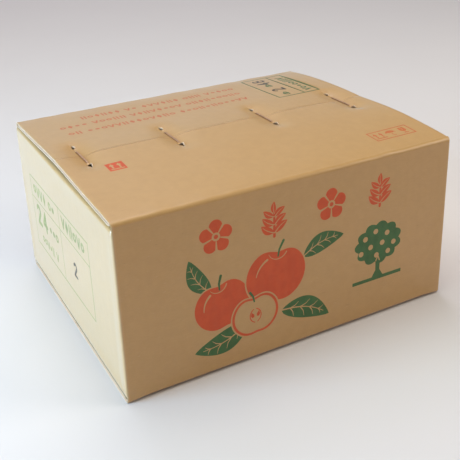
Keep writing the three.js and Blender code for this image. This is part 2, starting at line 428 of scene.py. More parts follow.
@dataclass(frozen=True)
class Apple:
    """A plain apple seen from the side, with a bare rim round it and a bare shine."""

    radius: float = 26.0
    rim: float = 1.5

    def outline(self, grown: float = 0.0) -> Array:
        """The apple's edge.

        Args:
            grown: how much larger it is all round.

        Returns:
            The closed edge, dented at the stalk and at the foot.
        """
        a = np.linspace(0, 2 * math.pi, 60, endpoint=False)
        top = np.exp(-((np.angle(np.exp(1j * (a - math.pi / 2))) / 0.42) ** 2))
        foot = np.exp(-((np.angle(np.exp(1j * (a + math.pi / 2))) / 0.36) ** 2))
        r = self.radius * (1 + 0.05 * np.abs(np.cos(a)) + 0.03 * np.sin(a) - 0.2 * top - 0.09 * foot)
        return np.stack([(r + grown) * np.cos(a) * 1.04, (r + grown) * np.sin(a)], axis=1)

    def rimmed(self) -> list[Mark]:
        """The red apple inside its bare rim."""
        return inked(Ink.BARE, self.outline(self.rim)) + inked(Ink.RED, self.outline())

    def marks(self) -> list[Mark]:
        """The apple with its stalk, dimple and shine.

        Returns:
            Its marks.
        """
        r = self.radius
        stalk = [(0.02 * r, 0.68 * r), (0.05 * r, 0.92 * r), (0.18 * r, 1.2 * r)]
        dimple = stroke(arc(0.36 * r, 205, 335, 0, 0.94 * r), 0.5, 1.3)
        shine = stroke(arc(0.74 * r, 120, 172, 0, -0.02 * r), 2.4, 0.8)
        return self.rimmed() + inked(Ink.BARE, dimple, shine) + inked(Ink.GREEN, stroke(stalk, 1.8, 2.8))


@dataclass(frozen=True)
class HalfApple(Apple):
    """The same apple cut in half: bare flesh inside a red skin, with the core and two pips."""

    skin: float = 2.6

    def marks(self) -> list[Mark]:
        """The cut apple.

        Returns:
            Its marks.
        """
        r = self.radius
        core = [(118, 242, 0.1), (-62, 62, -0.1)]
        walls = [stroke(arc(0.36 * r, start, end, x * r, -0.02 * r), 1.1) for start, end, x in core]
        shoulder, hip = (0.085 * r, 0.04 * r), (0.05 * r, -0.07 * r)
        pip = np.array([(0, 0.2 * r), shoulder, hip, (-hip[0], hip[1]), (-shoulder[0], shoulder[1])])
        pips = [moved(pip, side * 0.13 * r, -0.02 * r, -side * 12) for side in (-1, 1)]
        stalk = [(0.0, 0.66 * r), (-0.04 * r, 0.92 * r), (-0.16 * r, 1.14 * r)]
        flesh = inked(Ink.BARE, self.outline(-self.skin))
        seeds = inked(Ink.RED, *walls, *pips)
        return self.rimmed() + flesh + seeds + inked(Ink.GREEN, stroke(stalk, 1.8, 2.6))


@dataclass(frozen=True)
class Tree:
    """A round orchard tree: a scalloped crown with bare fruit in it, on a trunk and a line of ground."""

    radius: float = 24.0
    scallops: int = 11
    height: float = 68.0
    fruit: tuple[Point, ...] = (
        (-17, 8), (-4, 14), (11, 9), (-10, -3), (5, -1), (20, -4), (-22, -8), (-2, -14), (13, -13),
    )

    def marks(self) -> list[Mark]:
        """The tree.

        Returns:
            Its marks.
        """
        a = np.linspace(0, 2 * math.pi, self.scallops * 8, endpoint=False)
        r = self.radius * (0.9 + 0.14 * np.abs(np.sin(a * self.scallops / 2)))
        up, foot = self.height / 2 - self.radius, -self.height / 2
        crown = np.stack([r * np.cos(a) * 1.22, up + r * np.sin(a)], axis=1)
        right = [(8.5, foot + 2), (2.6, foot + 12), (3.2, up - 8)]
        trunk = np.array([(-x, y) for x, y in reversed(right)] + right)
        ground = box(64, 4.2, 0, foot + 2.1)
        fruit = [disc(3.1, x, up + y, 16) for x, y in self.fruit]
        forks = [stroke([(low, up - 21), (high, up - 15.5)], 1.3) for low, high in ((-2.4, 0), (2.2, 0.2))]
        return inked(Ink.GREEN, crown, trunk, ground) + inked(Ink.BARE, *fruit, *forks)


@dataclass(frozen=True)
class Blossom:
    """A flat five-petalled blossom with a bare heart."""

    radius: float = 15.5
    petals: int = 5

    def marks(self) -> list[Mark]:
        """The blossom.

        Returns:
            Its marks.
        """
        r = self.radius
        petal = disc(0.4 * r, 0.6 * r, 0, 24)
        gap = stroke([(0.3 * r, 0), (0.86 * r, 0)], 1.1, 2.6)
        petals = [moved(petal, 0, 0, 90 + 360 * k / self.petals) for k in range(self.petals)]
        gaps = [moved(gap, 0, 0, 90 + 360 * (k + 0.5) / self.petals) for k in range(self.petals)]
        heart = inked(Ink.BARE, disc(0.25 * r, sides=24)) + inked(Ink.RED, disc(0.13 * r, sides=20))
        return inked(Ink.RED, *petals) + inked(Ink.BARE, *gaps) + heart


@dataclass(frozen=True)
class Sprig:
    """A short upright twig with paired leaves."""

    height: float = 31.0
    pairs: int = 3

    def marks(self) -> list[Mark]:
        """The twig and its leaves.

        Returns:
            Their marks.
        """
        low = -self.height / 2
        twig = stroke([(0, low), (0, low + 0.86 * self.height)], 3.0, 2.2)
        leaf = Leaf(self.height * 0.5, self.height * 0.24, 1.2, veins=0, vein_width=0.9).marks(Ink.RED)
        found = inked(Ink.RED, twig)
        for k in range(self.pairs):
            y = low + self.height * (0.12 + 0.25 * k)
            pair = [(leaf, side * 0.8, y, turn, 1 - 0.1 * k) for side, turn in ((1, 36), (-1, 144))]
            found += laid_out(*pair)
        return found + laid_out((leaf, 0, low + 0.72 * self.height, 90, 0.72))


def numeral(value: int, height: float, ink: Ink) -> list[Mark]:
    """A plain number in round strokes, centred on the origin.

    Args:
        value: the number, made up of the digits 2, 4 and 8.
        height: the digits' height.
        ink: the ink it is printed in.

    Returns:
        The marks of its digits.
    """
    w, h, line = 0.5 * height, height, 0.19 * height
    paths = {
        "2": [
            arc(w * 0.46, 160, -38, 0, h * 0.2),
            [(w * 0.36, h * 0.1), (-w * 0.46, -h * 0.42)],
            [(-w * 0.46, -h * 0.42), (w * 0.5, -h * 0.42)],
        ],
        "4": [
            [(w * 0.2, -h * 0.44), (w * 0.2, h * 0.44)],
            [(w * 0.2, h * 0.44), (-w * 0.52, -h * 0.16)],
            [(-w * 0.52, -h * 0.16), (w * 0.52, -h * 0.16)],
        ],
        "8": [
            np.vstack([disc(w * 0.38, 0, h * 0.22, 20), [(w * 0.38, h * 0.22)]]),
            np.vstack([disc(w * 0.46, 0, -h * 0.2, 20), [(w * 0.46, -h * 0.2)]]),
        ],
    }
    digits = str(value)
    glyphs = [inked(ink, *(stroke(path, line) for path in paths[digit])) for digit in digits]
    places = [(k - (len(digits) - 1) / 2) * (w + 2 * line) for k in range(len(digits))]
    return laid_out(*((glyph, x, 0) for glyph, x in zip(glyphs, places)))


class Motif(IntEnum):
    """The small motifs of an ornament row."""

    LOZENGE = 0
    DOT = 1
    BARS = 2
    VEE = 3
    RING = 4

    def marks(self, x: float, h: float, ink: Ink) -> list[Mark]:
        """One motif.

        Args:
            x: where its middle is along the row.
            h: half its height.
            ink: the ink it is printed in.

        Returns:
            Its marks.
        """
        if self is Motif.LOZENGE:
            return inked(ink, np.array([(x, -h), (x + 0.5 * h, 0), (x, h), (x - 0.5 * h, 0)]))
        if self is Motif.DOT:
            return inked(ink, disc(0.45 * h, x, 0, 12))
        if self is Motif.RING:
            return inked(ink, disc(0.62 * h, x, 0, 14)) + inked(Ink.BARE, disc(0.27 * h, x, 0, 10))
        if self is Motif.BARS:
            sides = [x + 0.33 * h * k for k in (-1, 1)]
            return inked(ink, *(stroke([(side, -0.8 * h), (side, 0.8 * h)], 0.34 * h) for side in sides))
        return inked(ink, *(stroke([(x, -0.7 * h), (x + 0.5 * h * k, 0.7 * h)], 0.36 * h) for k in (-1, 1)))


def ornament_row(seed: int, length: float, height: float, ink: Ink) -> list[Mark]:
    """A border of small motifs in a row, starting at the origin.

    Args:
        seed: sets the order of the motifs.
        length: the row's length.
        height: the motifs' height.
        ink: the ink it is printed in.

    Returns:
        The marks of the row.
    """
    gap, wide_gap, gap_share = 1.45, 2.3, 0.88
    rng = np.random.default_rng(seed)
    h = height / 2
    found: list[Mark] = []
    x = h
    while x < length - h:
        found += Motif(int(rng.integers(0, len(Motif)))).marks(x, h, ink)
        x += h * (gap if rng.random() < gap_share else wide_gap)
    return found


def arrows_up(size: float, ink: Ink) -> list[Mark]:
    """The usual pair of arrows over a line, for which way up a carton stands.

    Args:
        size: the sign's width and height.
        ink: the ink it is printed in.

    Returns:
        The sign's marks.
    """
    loops = [box(size, 0.12 * size, 0, -0.44 * size)]
    for x in (-0.27 * size, 0.27 * size):
        head = [(x - 0.19 * size, 0.12 * size), (x + 0.19 * size, 0.12 * size), (x, size / 2)]
        loops += [np.array(head), box(0.13 * size, 0.46 * size, x, -0.08 * size)]
    return inked(ink, *loops)


def umbrella(size: float, ink: Ink) -> list[Mark]:
    """The usual umbrella, for keeping a carton dry.

    Args:
        size: the sign's width and height.
        ink: the ink it is printed in.

    Returns:
        The sign's marks.
    """
    r = size / 2
    hook = arc(0.09 * size, 180, 360, 0.09 * size, -0.36 * size, 6)
    handle = [(0, 0.36 * size), (0, -0.34 * size), *map(tuple, hook)]
    scallops = [disc(r / 3, x * r, -0.06 * size, 16) for x in (-2 / 3, 0, 2 / 3)]
    dome = inked(ink, arc(r, 0, 180, 0, -0.02 * size, 20))
    return dome + inked(Ink.BARE, *scallops) + inked(ink, stroke(handle, 0.07 * size))


def goblet(size: float, ink: Ink) -> list[Mark]:
    """The usual stemmed glass, for a carton to handle with care.

    Args:
        size: the sign's width and height.
        ink: the ink it is printed in.

    Returns:
        The sign's marks.
    """
    h = size / 2
    brim = [(0.26 * size, h), (-0.26 * size, h)]
    bowl = np.concatenate([arc(0.3 * size, 180, 360, 0, 0.1 * size, 14), brim])
    crack = [
        (0.02 * size, h), (-0.05 * size, 0.34 * size),
        (0.05 * size, 0.24 * size), (-0.02 * size, 0.08 * size),
    ]
    stem = box(0.09 * size, 0.36 * size, 0, -0.28 * size)
    foot = box(0.42 * size, 0.1 * size, 0, -h + 0.05 * size)
    return inked(ink, bowl) + inked(Ink.BARE, stroke(crack, 0.06 * size)) + inked(ink, stem, foot)


# ---- Meshes -----------------------------------------------------------------------------------------


class Layer(IntEnum):
    """The material slots of a panel. The first six follow Ink, so that an ink is also a slot."""

    LINER = 0
    RED = 1
    GREEN = 2
    BLACK = 3
    FAINT_RED = 4
    # The pale green slot is the green ink with painted light, lightened for the brightly lit left end.
    FAINT_GREEN = 5
    INSIDE = 6
    FLUTES = 7
    CUT = 8


def enclosed(points: Array, loop: Array) -> Array:
    """Finds the points inside a closed loop.

    Args:
        points: rows of (s, t).
        loop: the loop's points, in order.

    Returns:
        For each point, whether it lies inside.
    """
    low, high = loop.min(0), loop.max(0)
    near = ((points >= low) & (points <= high)).all(1)
    found = np.zeros(len(points), bool)
    if not near.any():
        return found
    p = points[near]
    a, b = loop, np.roll(loop, -1, axis=0)
    x, y = p[:, :1], p[:, 1:]
    crosses = (a[:, 1] > y) != (b[:, 1] > y)
    rise = np.where(b[:, 1] == a[:, 1], 1.0, b[:, 1] - a[:, 1])
    at = a[:, 0] + (y - a[:, 1]) * (b[:, 0] - a[:, 0]) / rise
    found[near] = (crosses & (x < at)).sum(1) % 2 == 1
    return found


def divided(corners: Sequence[Point] | Array, step: float) -> Array:
    """Divides the sides of a closed loop.

    Args:
        corners: the loop's corners.
        step: the longest stretch to leave.

    Returns:
        The corners with points between them.
    """
    points = np.asarray(corners, float)
    parts = []
    for a, b in zip(points, np.roll(points, -1, axis=0)):
        count = max(1, math.ceil(np.linalg.norm(b - a) / step))
        parts.append(a + (b - a) * (np.arange(count) / count)[:, None])
    return np.concatenate(parts)


@dataclass
class Cutting:
    """A flat piece of paper: its triangles, and what is printed on each of them."""

    points: Array
    triangles: Array
    inks: Array


def cut_paper(
    outline: Array, lines: Array, holes: Sequence[Array] = (), marks: Sequence[Mark] = ()
) -> Cutting:
    """Cuts paper to an outline, with holes and printing.

    Args:
        outline: the paper's closed edge, in its flat coordinates.
        lines: more points to put in the mesh, so that it can bend.
        holes: closed loops that are cut out.
        marks: the printing, each mark's edge becoming edges of the mesh.

    Returns:
        The cut paper.
    """
    nearness = 1e-4
    loops = [outline, *holes, *(mark.loop for mark in marks)]
    edges: list[tuple[int, int]] = []
    start = len(lines)
    for loop in loops:
        count = len(loop)
        edges += [(start + i, start + (i + 1) % count) for i in range(count)]
        start += count
    flat = [Vector(point) for point in np.concatenate([lines, *loops])]
    verts, _, faces, *_ = delaunay_2d_cdt(flat, edges, [], 0, nearness, False)
    found = np.array(verts)
    triangles = np.array([face for face in faces if len(face) == 3])
    middle = found[triangles].mean(1)
    kept = enclosed(middle, outline)
    for hole in holes:
        kept &= ~enclosed(middle, hole)
    triangles, middle = triangles[kept], middle[kept]
    inks = np.zeros(len(triangles), int)
    for mark in marks:
        inks[enclosed(middle, mark.loop)] = mark.ink
    used, compact = np.unique(triangles, return_inverse=True)
    return Cutting(found[used], compact.reshape(triangles.shape), inks)


def rim_edges(triangles: Array) -> Array:
    """The edges that only one triangle has, each in that triangle's direction.

    Args:
        triangles: the corners' numbers, a row for each triangle.

    Returns:
        The numbers of the two ends of each edge.
    """
    edges = np.concatenate([triangles[:, [0, 1]], triangles[:, [1, 2]], triangles[:, [2, 0]]])
    _, first, counts = np.unique(np.sort(edges, axis=1), axis=0, return_index=True, return_counts=True)
    return edges[first[counts == 1]]


def tube_quads(rings: int, sides: int) -> Array:
    """The quads of a tube whose points stand in rings, one ring after another.

    Args:
        rings: how many rings there are.
        sides: how many points each ring has.

    Returns:
        The numbers of each quad's corners.
    """
    i, j = np.meshgrid(np.arange(rings - 1), np.arange(sides), indexing="ij")
    after = (j + 1) % sides
    corners = [i * sides + j, (i + 1) * sides + j, (i + 1) * sides + after, i * sides + after]
    return np.stack(corners, axis=-1).reshape(-1, 4)


def face_normals(points: Array, faces: Array) -> Array:
    """The unit normal of each triangle or quad.

    Args:
        points: the places of the corners.
        faces: the corners' numbers, a row for each face.

    Returns:
        One normal for each face.
    """
    across = points[faces[:, 2]] - points[faces[:, 0]]
    other = points[faces[:, -1]] - points[faces[:, 1]]
    return unit(np.cross(across, other))


class PieceMesh:
    """Gathers the faces of one piece, with their finish and shading, and makes its object."""

    def __init__(self) -> None:
        """Starts with nothing in the piece."""
        self.points: list[Array] = []
        self.faces: list[list[int]] = []
        self.slots: list[Array] = []
        self.normals: list[Array] = []
        self.count = 0

    def add_points(self, points: Array) -> int:
        """Adds points.

        Args:
            points: their places, in millimetres.

        Returns:
            The number of the first one.
        """
        first = self.count
        self.points.append(points)
        self.count += len(points)
        return first

    def add_faces(self, first: int, faces: Array, slots: Array | int, normals: Array) -> None:
        """Adds faces over points that are already in the piece.

        Args:
            first: the number of the first of those points.
            faces: rows of point numbers, counted from `first`.
            slots: the material slot of each face, or one for all.
            normals: the shading normal at each corner of each face.
        """
        self.faces += (faces + first).tolist()
        self.slots.append(np.broadcast_to(slots, len(faces)))
        self.normals.append(normals.reshape(-1, 3))

    def add_cut(self, first: int, points: Array, quads: Array) -> None:
        """Adds flat-shaded quads of torn or cut paper over points that start at `first`."""
        normals = np.repeat(face_normals(points, quads)[:, None], 4, axis=1)
        self.add_faces(first, quads, Layer.CUT, normals)

    def build(self, name: str, finishes: Sequence[bpy.types.Material]) -> bpy.types.Object:
        """Makes the piece's object, in metres.

        Args:
            name: the object's name.
            finishes: the materials of its slots.

        Returns:
            The new object, in the scene.
        """
        mesh = bpy.data.meshes.new(name)
        mesh.from_pydata((np.concatenate(self.points) * MM).tolist(), [], self.faces)
        mesh.polygons.foreach_set("use_smooth", np.ones(len(self.faces), bool))
        mesh.polygons.foreach_set("material_index", np.concatenate(self.slots).astype(np.int32))
        for finish in finishes:
            mesh.materials.append(finish)
        mesh.update()
        mesh.normals_split_custom_set(np.concatenate(self.normals).tolist())
        piece = bpy.data.objects.new(name, mesh)
        bpy.context.scene.collection.objects.link(piece)
        log.info("%s: %d faces", name, len(self.faces))
        return piece


# ---- Board ------------------------------------------------------------------------------------------

Place = Callable[[Array, Array, Array], Array]
Depth = Callable[[Array, Array], Array]


class Axis(IntEnum):
    """The direction in which a panel's flutes follow one another."""

    X = 0
    Y = 1


def shading(place: Place, depth: Depth, s: Array, t: Array) -> Array:
    """Finds how a bent surface faces.

    Args:
        place: where points at a depth below a panel's outer face are.
        depth: the surface's depth.
        s: where the points are across the flutes.
        t: where they are along them.

    Returns:
        The outward normal at each point.
    """
    probe = 0.04

    def at(ds: float, dt: float) -> Array:
        """The surface a little way from each point."""
        return place(s + ds, t + dt, depth(s + ds, t + dt))

    return unit(np.cross(at(probe, 0) - at(-probe, 0), at(0, probe) - at(0, -probe)))


@dataclass(kw_only=True)
class Panel:
    """A panel of board. `s` runs across the flutes and `t` along them, on the panel laid flat.

    Each kind of panel sets its outline and the points in its papers, and says where they are bent to.
    """

    node: str
    marks: list[Mark] = field(default_factory=list)
    holes: list[Array] = field(default_factory=list)
    flute_axis: Axis = Axis.X
    first_flute: float = 0.0
    crease_at: float = SIZES.inner_y
    outline: Array = field(init=False)
    lines: Array = field(init=False)
    coarse_lines: Array = field(init=False)

    def place(self, s: Array, t: Array, depth: Array) -> Array:
        """Where points at a depth below the outer face are.

        Args:
            s: places along the panel, in its flat coordinates.
            t: places across it.
            depth: how far below the outer face each one is.

        Returns:
            The places on the carton, in millimetres.
        """
        raise NotImplementedError

    def thickness(self, s: Array, t: Array) -> Array:
        """The board's thickness, pinched at the panel's crease."""
        return BOARD.creased(self.crease_at - np.abs(t) + BOARD.flap_start)

    def flute(self, s: Array, t: Array) -> Array:
        """The depth of the middle of the fluted paper."""
        room = self.thickness(s, t) / 2 - BOARD.liner - BOARD.medium / 2
        return self.thickness(s, t) / 2 - room * np.sin(2 * math.pi * (s - self.first_flute) / BOARD.pitch)

    def lay(
        self, mesh: PieceMesh, paper: Cutting, top: Depth, bottom: Depth, back: Layer, front: Array | int
    ) -> None:
        """Lays one paper into the board as a closed thin solid.

        Args:
            mesh: the piece that it becomes part of.
            paper: the flat paper.
            top: the depth of its outer side.
            bottom: the depth of its inner side.
            back: the slot of its inner side.
            front: the slots of its outer side's faces.
        """
        s, t = paper.points.T
        points = np.concatenate([self.place(s, t, top(s, t)), self.place(s, t, bottom(s, t))])
        count = len(paper.points)
        first = mesh.add_points(points)
        up = shading(self.place, top, s, t)
        mesh.add_faces(first, paper.triangles, front, up[paper.triangles])
        under = paper.triangles[:, ::-1] + count
        down = -shading(self.place, bottom, s, t)
        mesh.add_faces(first, under, back, down[under - count])
        a, b = rim_edges(paper.triangles).T
        mesh.add_cut(first, points, np.stack([b, a, a + count, b + count], axis=1))

    def build(self, finishes: FinishBook) -> bpy.types.Object:
        """Makes the panel's two liners and its fluted paper as one piece.

        Args:
            finishes: where its materials come from.

        Returns:
            The piece.
        """
        wave_points = 8
        mesh = PieceMesh()
        printed = cut_paper(self.outline, self.lines, self.holes, self.marks)
        plain = cut_paper(self.outline, self.coarse_lines, self.inner_holes())
        (s_low, t_low), (s_high, t_high) = self.outline.min(0), self.outline.max(0)
        waves = np.linspace(s_low, s_high, round((s_high - s_low) * wave_points / BOARD.pitch) + 1)
        rows = np.unique(np.concatenate([self.flute_rows(), [t_low, t_high]]))
        fluted = cut_paper(self.flute_outline(), grid(waves, rows), self.inner_holes())
        liner, half = BOARD.liner, BOARD.medium / 2
        self.lay(mesh, printed, lambda s, t: 0 * s, lambda s, t: 0 * s + liner, Layer.INSIDE, printed.inks)
        self.lay(mesh, fluted, lambda s, t: self.flute(s, t) - half, lambda s, t: self.flute(s, t) + half,
                 Layer.FLUTES, Layer.FLUTES)
        self.lay(mesh, plain, lambda s, t: self.thickness(s, t) - liner, self.thickness,
                 Layer.INSIDE, Layer.INSIDE)
        self.extra(mesh)
        piece = mesh.build(f"{self.node}_board", finishes.for_board(self.flute_axis))
        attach(piece, BODY)
        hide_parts(self.node)
        return piece

    def flute_outline(self) -> Array:
        """The edge of the fluted paper, with no points on it beside the flutes' own."""
        (s_low, t_low), (s_high, t_high) = self.outline.min(0), self.outline.max(0)
        return rectangle(s_low, s_high, t_low, t_high)

    def flute_rows(self) -> Array:
        """The rows of points along the flutes."""
        return np.unique(self.coarse_lines[:, 1])

    def inner_holes(self) -> list[Array]:
        """The holes in the papers under the outer liner."""
        return self.holes

    def extra(self, mesh: PieceMesh) -> None:
        """Adds anything that the panel has besides its papers."""


@dataclass(kw_only=True)
class Wall(Panel):
    """An upright wall with half of each rounded corner and both flap creases.

    It is built as if it were the front wall and then turned about the upright axis.
    """

    half_run: float
    half_across: float
    low: float
    high: float
    tab_half: float
    degrees: float
    seed: int
    dish_depth: float = 0.7
    dish_margin: float = 3.0
    dish_reach: float = 17.0
    dish_length: float = 260.0
    crease_band: float = 9.0
    flat: float = BOARD.thickness - BOARD.crease_radius

    def __post_init__(self) -> None:
        """Draws the wall's outline, with its slots, and the points in its papers."""
        r, fold = BOARD.crease_radius, BOARD.crease_radius * math.pi / 2
        self.bottom_end = self.low + r - fold - self.flat
        self.top_end = self.high - r + fold + self.flat
        self.s_corner = self.half_run - BOARD.corner_radius
        self.s_end = self.s_corner + BOARD.corner_radius * math.pi / 4
        past = max(0.0, self.tab_half - self.s_corner)
        round_corner = BOARD.corner_radius * math.asin(past / BOARD.corner_radius)
        s_tab = min(self.tab_half, self.s_corner) + round_corner
        slots = (SIZES.slot_depth, SIZES.height - SIZES.slot_depth)
        half = [(s_tab, self.bottom_end), (s_tab, slots[0]), (self.s_end, slots[0]),
                (self.s_end, slots[1]), (s_tab, slots[1]), (s_tab, self.top_end)]
        self.outline = divided(half + [(-s, t) for s, t in reversed(half)], 1.8)
        middle = self.s_corner - 1
        strip = self.corner_strip()
        fine, coarse = steps((-middle, middle, 5.0)), steps((-middle, middle, 10.0))
        self.lines = np.concatenate([grid(fine, self.rows(0.8, 12.0)), strip])
        self.coarse_lines = np.concatenate([grid(coarse, self.flute_rows()), strip])
        self.flute_axis = Axis.X if self.degrees % 180 == 0 else Axis.Y
        self.dish = Ripple(self.seed, self.dish_length)

    def corner_strip(self) -> Array:
        """Closer grid points on both rounded corners.

        Returns:
            The points, in the wall's flat coordinates.
        """
        across = steps((self.s_corner - 0.5, self.s_end - 0.3, 0.45))
        rows = steps((self.low + 1, self.high - 1, 1.8))
        return np.concatenate([grid(-across, rows), grid(across, rows)])

    def rows(self, fine: float, wide: float) -> Array:
        """Grid lines up the wall, closer on the creases.

        Args:
            fine: the step where they are closer.
            wide: the step elsewhere.

        Returns:
            Where the lines are, in millimetres.
        """
        low, high = self.low + self.crease_band, self.high - self.crease_band
        return steps((self.bottom_end, low, fine), (low, high, wide), (high, self.top_end, fine))

    def place(self, s: Array, t: Array, depth: Array) -> Array:
        """Bends the flat wall round its creases and corners.

        Args:
            s: where the points are along the wall.
            t: where they are up the wall.
            depth: how deep they are below the outer face.

        Returns:
            Where they are on the carton.
        """
        r = BOARD.crease_radius
        up, down = t - (self.high - r), (self.low + r) - t
        turn = np.clip(up / r, 0, math.pi / 2) - np.clip(down / r, 0, math.pi / 2)
        beyond = np.maximum(0, np.maximum(up, down) - r * math.pi / 2)
        upright = np.cos(turn)
        corner = np.clip((np.abs(s) - self.s_corner) / BOARD.corner_radius, 0, math.pi / 4)
        x = np.sign(s) * (np.minimum(np.abs(s), self.s_corner) + BOARD.corner_radius * np.sin(corner))
        rounding = BOARD.corner_radius * (1 - np.cos(corner)) * (1 - depth / BOARD.thickness)
        inset = r * (1 - upright) + beyond + (rounding + self.dished(s, t)) * upright
        y = -self.half_across + inset + depth * upright
        z = np.clip(t, self.low + r, self.high - r) + (r - depth) * np.sin(turn)
        if self.low == 0:
            z += FOOTING.along(self.half_run - np.abs(s)) * (1 - smooth(t, r, FOOTING.up_reach))
        world = self.turned(np.stack([x * (1 - depth / self.half_run * upright), y, z], axis=1))
        world[:, 2] -= crease_sag(world[:, 0], world[:, 1]) * np.clip(np.sin(turn), 0, 1)
        return world

    def flute_outline(self) -> Array:
        """The edge of the fluted paper."""
        return self.outline

    def flute_rows(self) -> Array:
        """The rows of points along the flutes."""
        return self.rows(1.1, 30.0)

    def dished(self, s: Array, t: Array) -> Array:
        """How far the wall stands back from flat, fading out towards its edges.

        Args:
            s: places along the wall, in millimetres.
            t: heights.

        Returns:
            The depth at each place.
        """
        from_edge = np.minimum(self.half_run - np.abs(s), np.minimum(t - self.low, self.high - t))
        share = smooth(from_edge, self.dish_margin, self.dish_reach)
        return self.dish_depth * (0.5 + 0.5 * self.dish(s, t)) * share

    def turned(self, points: Array) -> Array:
        """Points turned from the front to where the wall stands.

        Args:
            points: places on a wall that faces the front.

        Returns:
            The turned places.
        """
        a = math.radians(self.degrees)
        turn = np.array([[math.cos(a), math.sin(a), 0], [-math.sin(a), math.cos(a), 0], [0, 0, 1]])
        return points @ turn

    def thickness(self, s: Array, t: Array) -> Array:
        """The board's thickness, pinched on both creases.

        Args:
            s: places along the wall, in millimetres; not used.
            t: heights.

        Returns:
            The thickness at each place.
        """
        r = BOARD.crease_radius
        middle = r * math.pi / 4
        top, bottom = np.abs(t - (self.high - r + middle)), np.abs(t - (self.low + r - middle))
        return BOARD.creased(np.minimum(top, bottom))


SAG = Ripple(11, 46)


def crease_sag(x: Array, y: Array) -> Array:
    """How far a top crease lies below its drawn height, along its length."""
    return 0.3 * (1 + SAG(x + 7 * np.sign(y), y * 0.2))


@dataclass(frozen=True)
class StapleSpot:
    """Where a staple holds the long flaps, read from its CAD node."""

    x: float
    y: float
    seat: float

    @staticmethod
    def of(node: str) -> StapleSpot:
        """The spot of one CAD staple.

        Args:
            node: the staple's node.

        Returns:
            Where the staple lies.
        """
        low, high = span(node)
        crown_under = high[2] - WIRE.thickness - WIRE.seat
        return StapleSpot((low[0] + high[0]) / 2, (low[1] + high[1]) / 2, crown_under - SIZES.height)


TOP_SPOTS = [StapleSpot.of(f"top_staple_{i}") for i in STAPLE_NUMBERS]
BOTTOM_X = [StapleSpot.of(f"bottom_staple_{i}").x for i in STAPLE_NUMBERS]


@dataclass(frozen=True)
class HookHole:
    """The hole that one of the clincher's hooks leaves beyond the end of a top staple."""

    spot: StapleSpot
    outwards: int
    reach: float = 29.5
    length: float = 13.0
    width: float = 4.0
    shift: float = 2.0
    ragged: float = 0.22
    ragged_length: float = 2.4
    press: float = 0.7
    press_reach: float = 1.6
    lip: float = 0.3
    lip_thickness: float = 0.25
    lip_lean: float = 0.55
    lip_height: float = 1.1
    lip_root: float = -0.2

    @property
    def y(self) -> float:
        """The middle of the hole across the seam."""
        return self.spot.y + self.shift + self.outwards * self.reach

    def outline(self, grown: float = 0.0) -> Array:
        """The hole's torn edge: round towards the staple and pointed away from it.

        Args:
            grown: how much larger it is all round.

        Returns:
            The closed edge.
        """
        r = self.width / 2 + grown
        round_at = self.y - self.outwards * (self.length / 2 - self.width / 2)
        tip = np.array([[self.spot.x, self.y + self.outwards * (self.length / 2 + grown)]])
        start = 0 if self.outwards < 0 else 180
        bend = arc(r, start, start + 180, self.spot.x, round_at, 10)
        torn = divided(np.concatenate([bend, (bend[-1:] + tip) / 2, tip, (bend[:1] + tip) / 2]), 1.1)
        ragged = Ripple(int(abs(self.spot.x)) + self.outwards, self.ragged_length)
        away = unit(torn - (self.spot.x, self.y))
        return torn + away * self.ragged * ragged(torn[:, 0], torn[:, 1])[:, None]

    def raised(self, x: Array, y: Array) -> Array:
        """How far the board stands up round the hole: pressed in, most on its left and far sides.

        Args:
            x: where the points are along the carton.
            y: where they are across it.

        Returns:
            The height above the flap's own face, below 0 where it is pressed in.
        """
        along = np.clip((y - self.y) / (self.length / 2), -1, 1)
        half = self.width / 2 * np.clip(1.15 - 0.75 * along * self.outwards, 0.2, 1)
        out_x = np.maximum(0, np.abs(x - self.spot.x) - half)
        out_y = np.maximum(0, np.abs(y - self.y) - self.length / 2)
        near = np.exp(-((np.hypot(out_x, out_y) / self.press_reach) ** 2))
        right = smooth(x - self.spot.x, -0.5, half)
        return near * (self.lip * right - self.press * (1 - right) * (0.5 + 0.5 * along))

    def add_lip(self, mesh: PieceMesh, level: Depth) -> None:
        """Adds the torn liner that stands up along the hole's right side.

        Args:
            mesh: the flap that it becomes part of.
            level: the height of the flap's face above the long creases.
        """
        loop = self.outline()
        right = loop[loop[:, 0] > self.spot.x + 0.25 * self.width / 2]
        right = right[np.argsort(right[:, 1])]
        bow = np.sin(math.pi * np.linspace(0, 1, len(right)))[:, None]
        out = np.array([1.0, 0.0])
        lean = out * self.lip_lean * bow
        thick = out * self.lip_thickness
        flat = [right, right + thick, right + thick + lean, right + lean]
        lift = [self.lip_root, self.lip_root, self.lip_height * bow[:, 0], self.lip_height * bow[:, 0]]
        rows = [np.column_stack([p, SIZES.height + level(*right.T) + z]) for p, z in zip(flat, lift)]
        points = np.stack(rows, axis=1).reshape(-1, 3)
        mesh.add_cut(mesh.add_points(points), points, tube_quads(len(right), len(rows)))


NEAR_HOOKS = [HookHole(spot, -1) for spot in TOP_SPOTS]
FAR_HOOKS = [HookHole(spot, 1, reach=28.5, length=9.5, width=3.0) for spot in TOP_SPOTS]


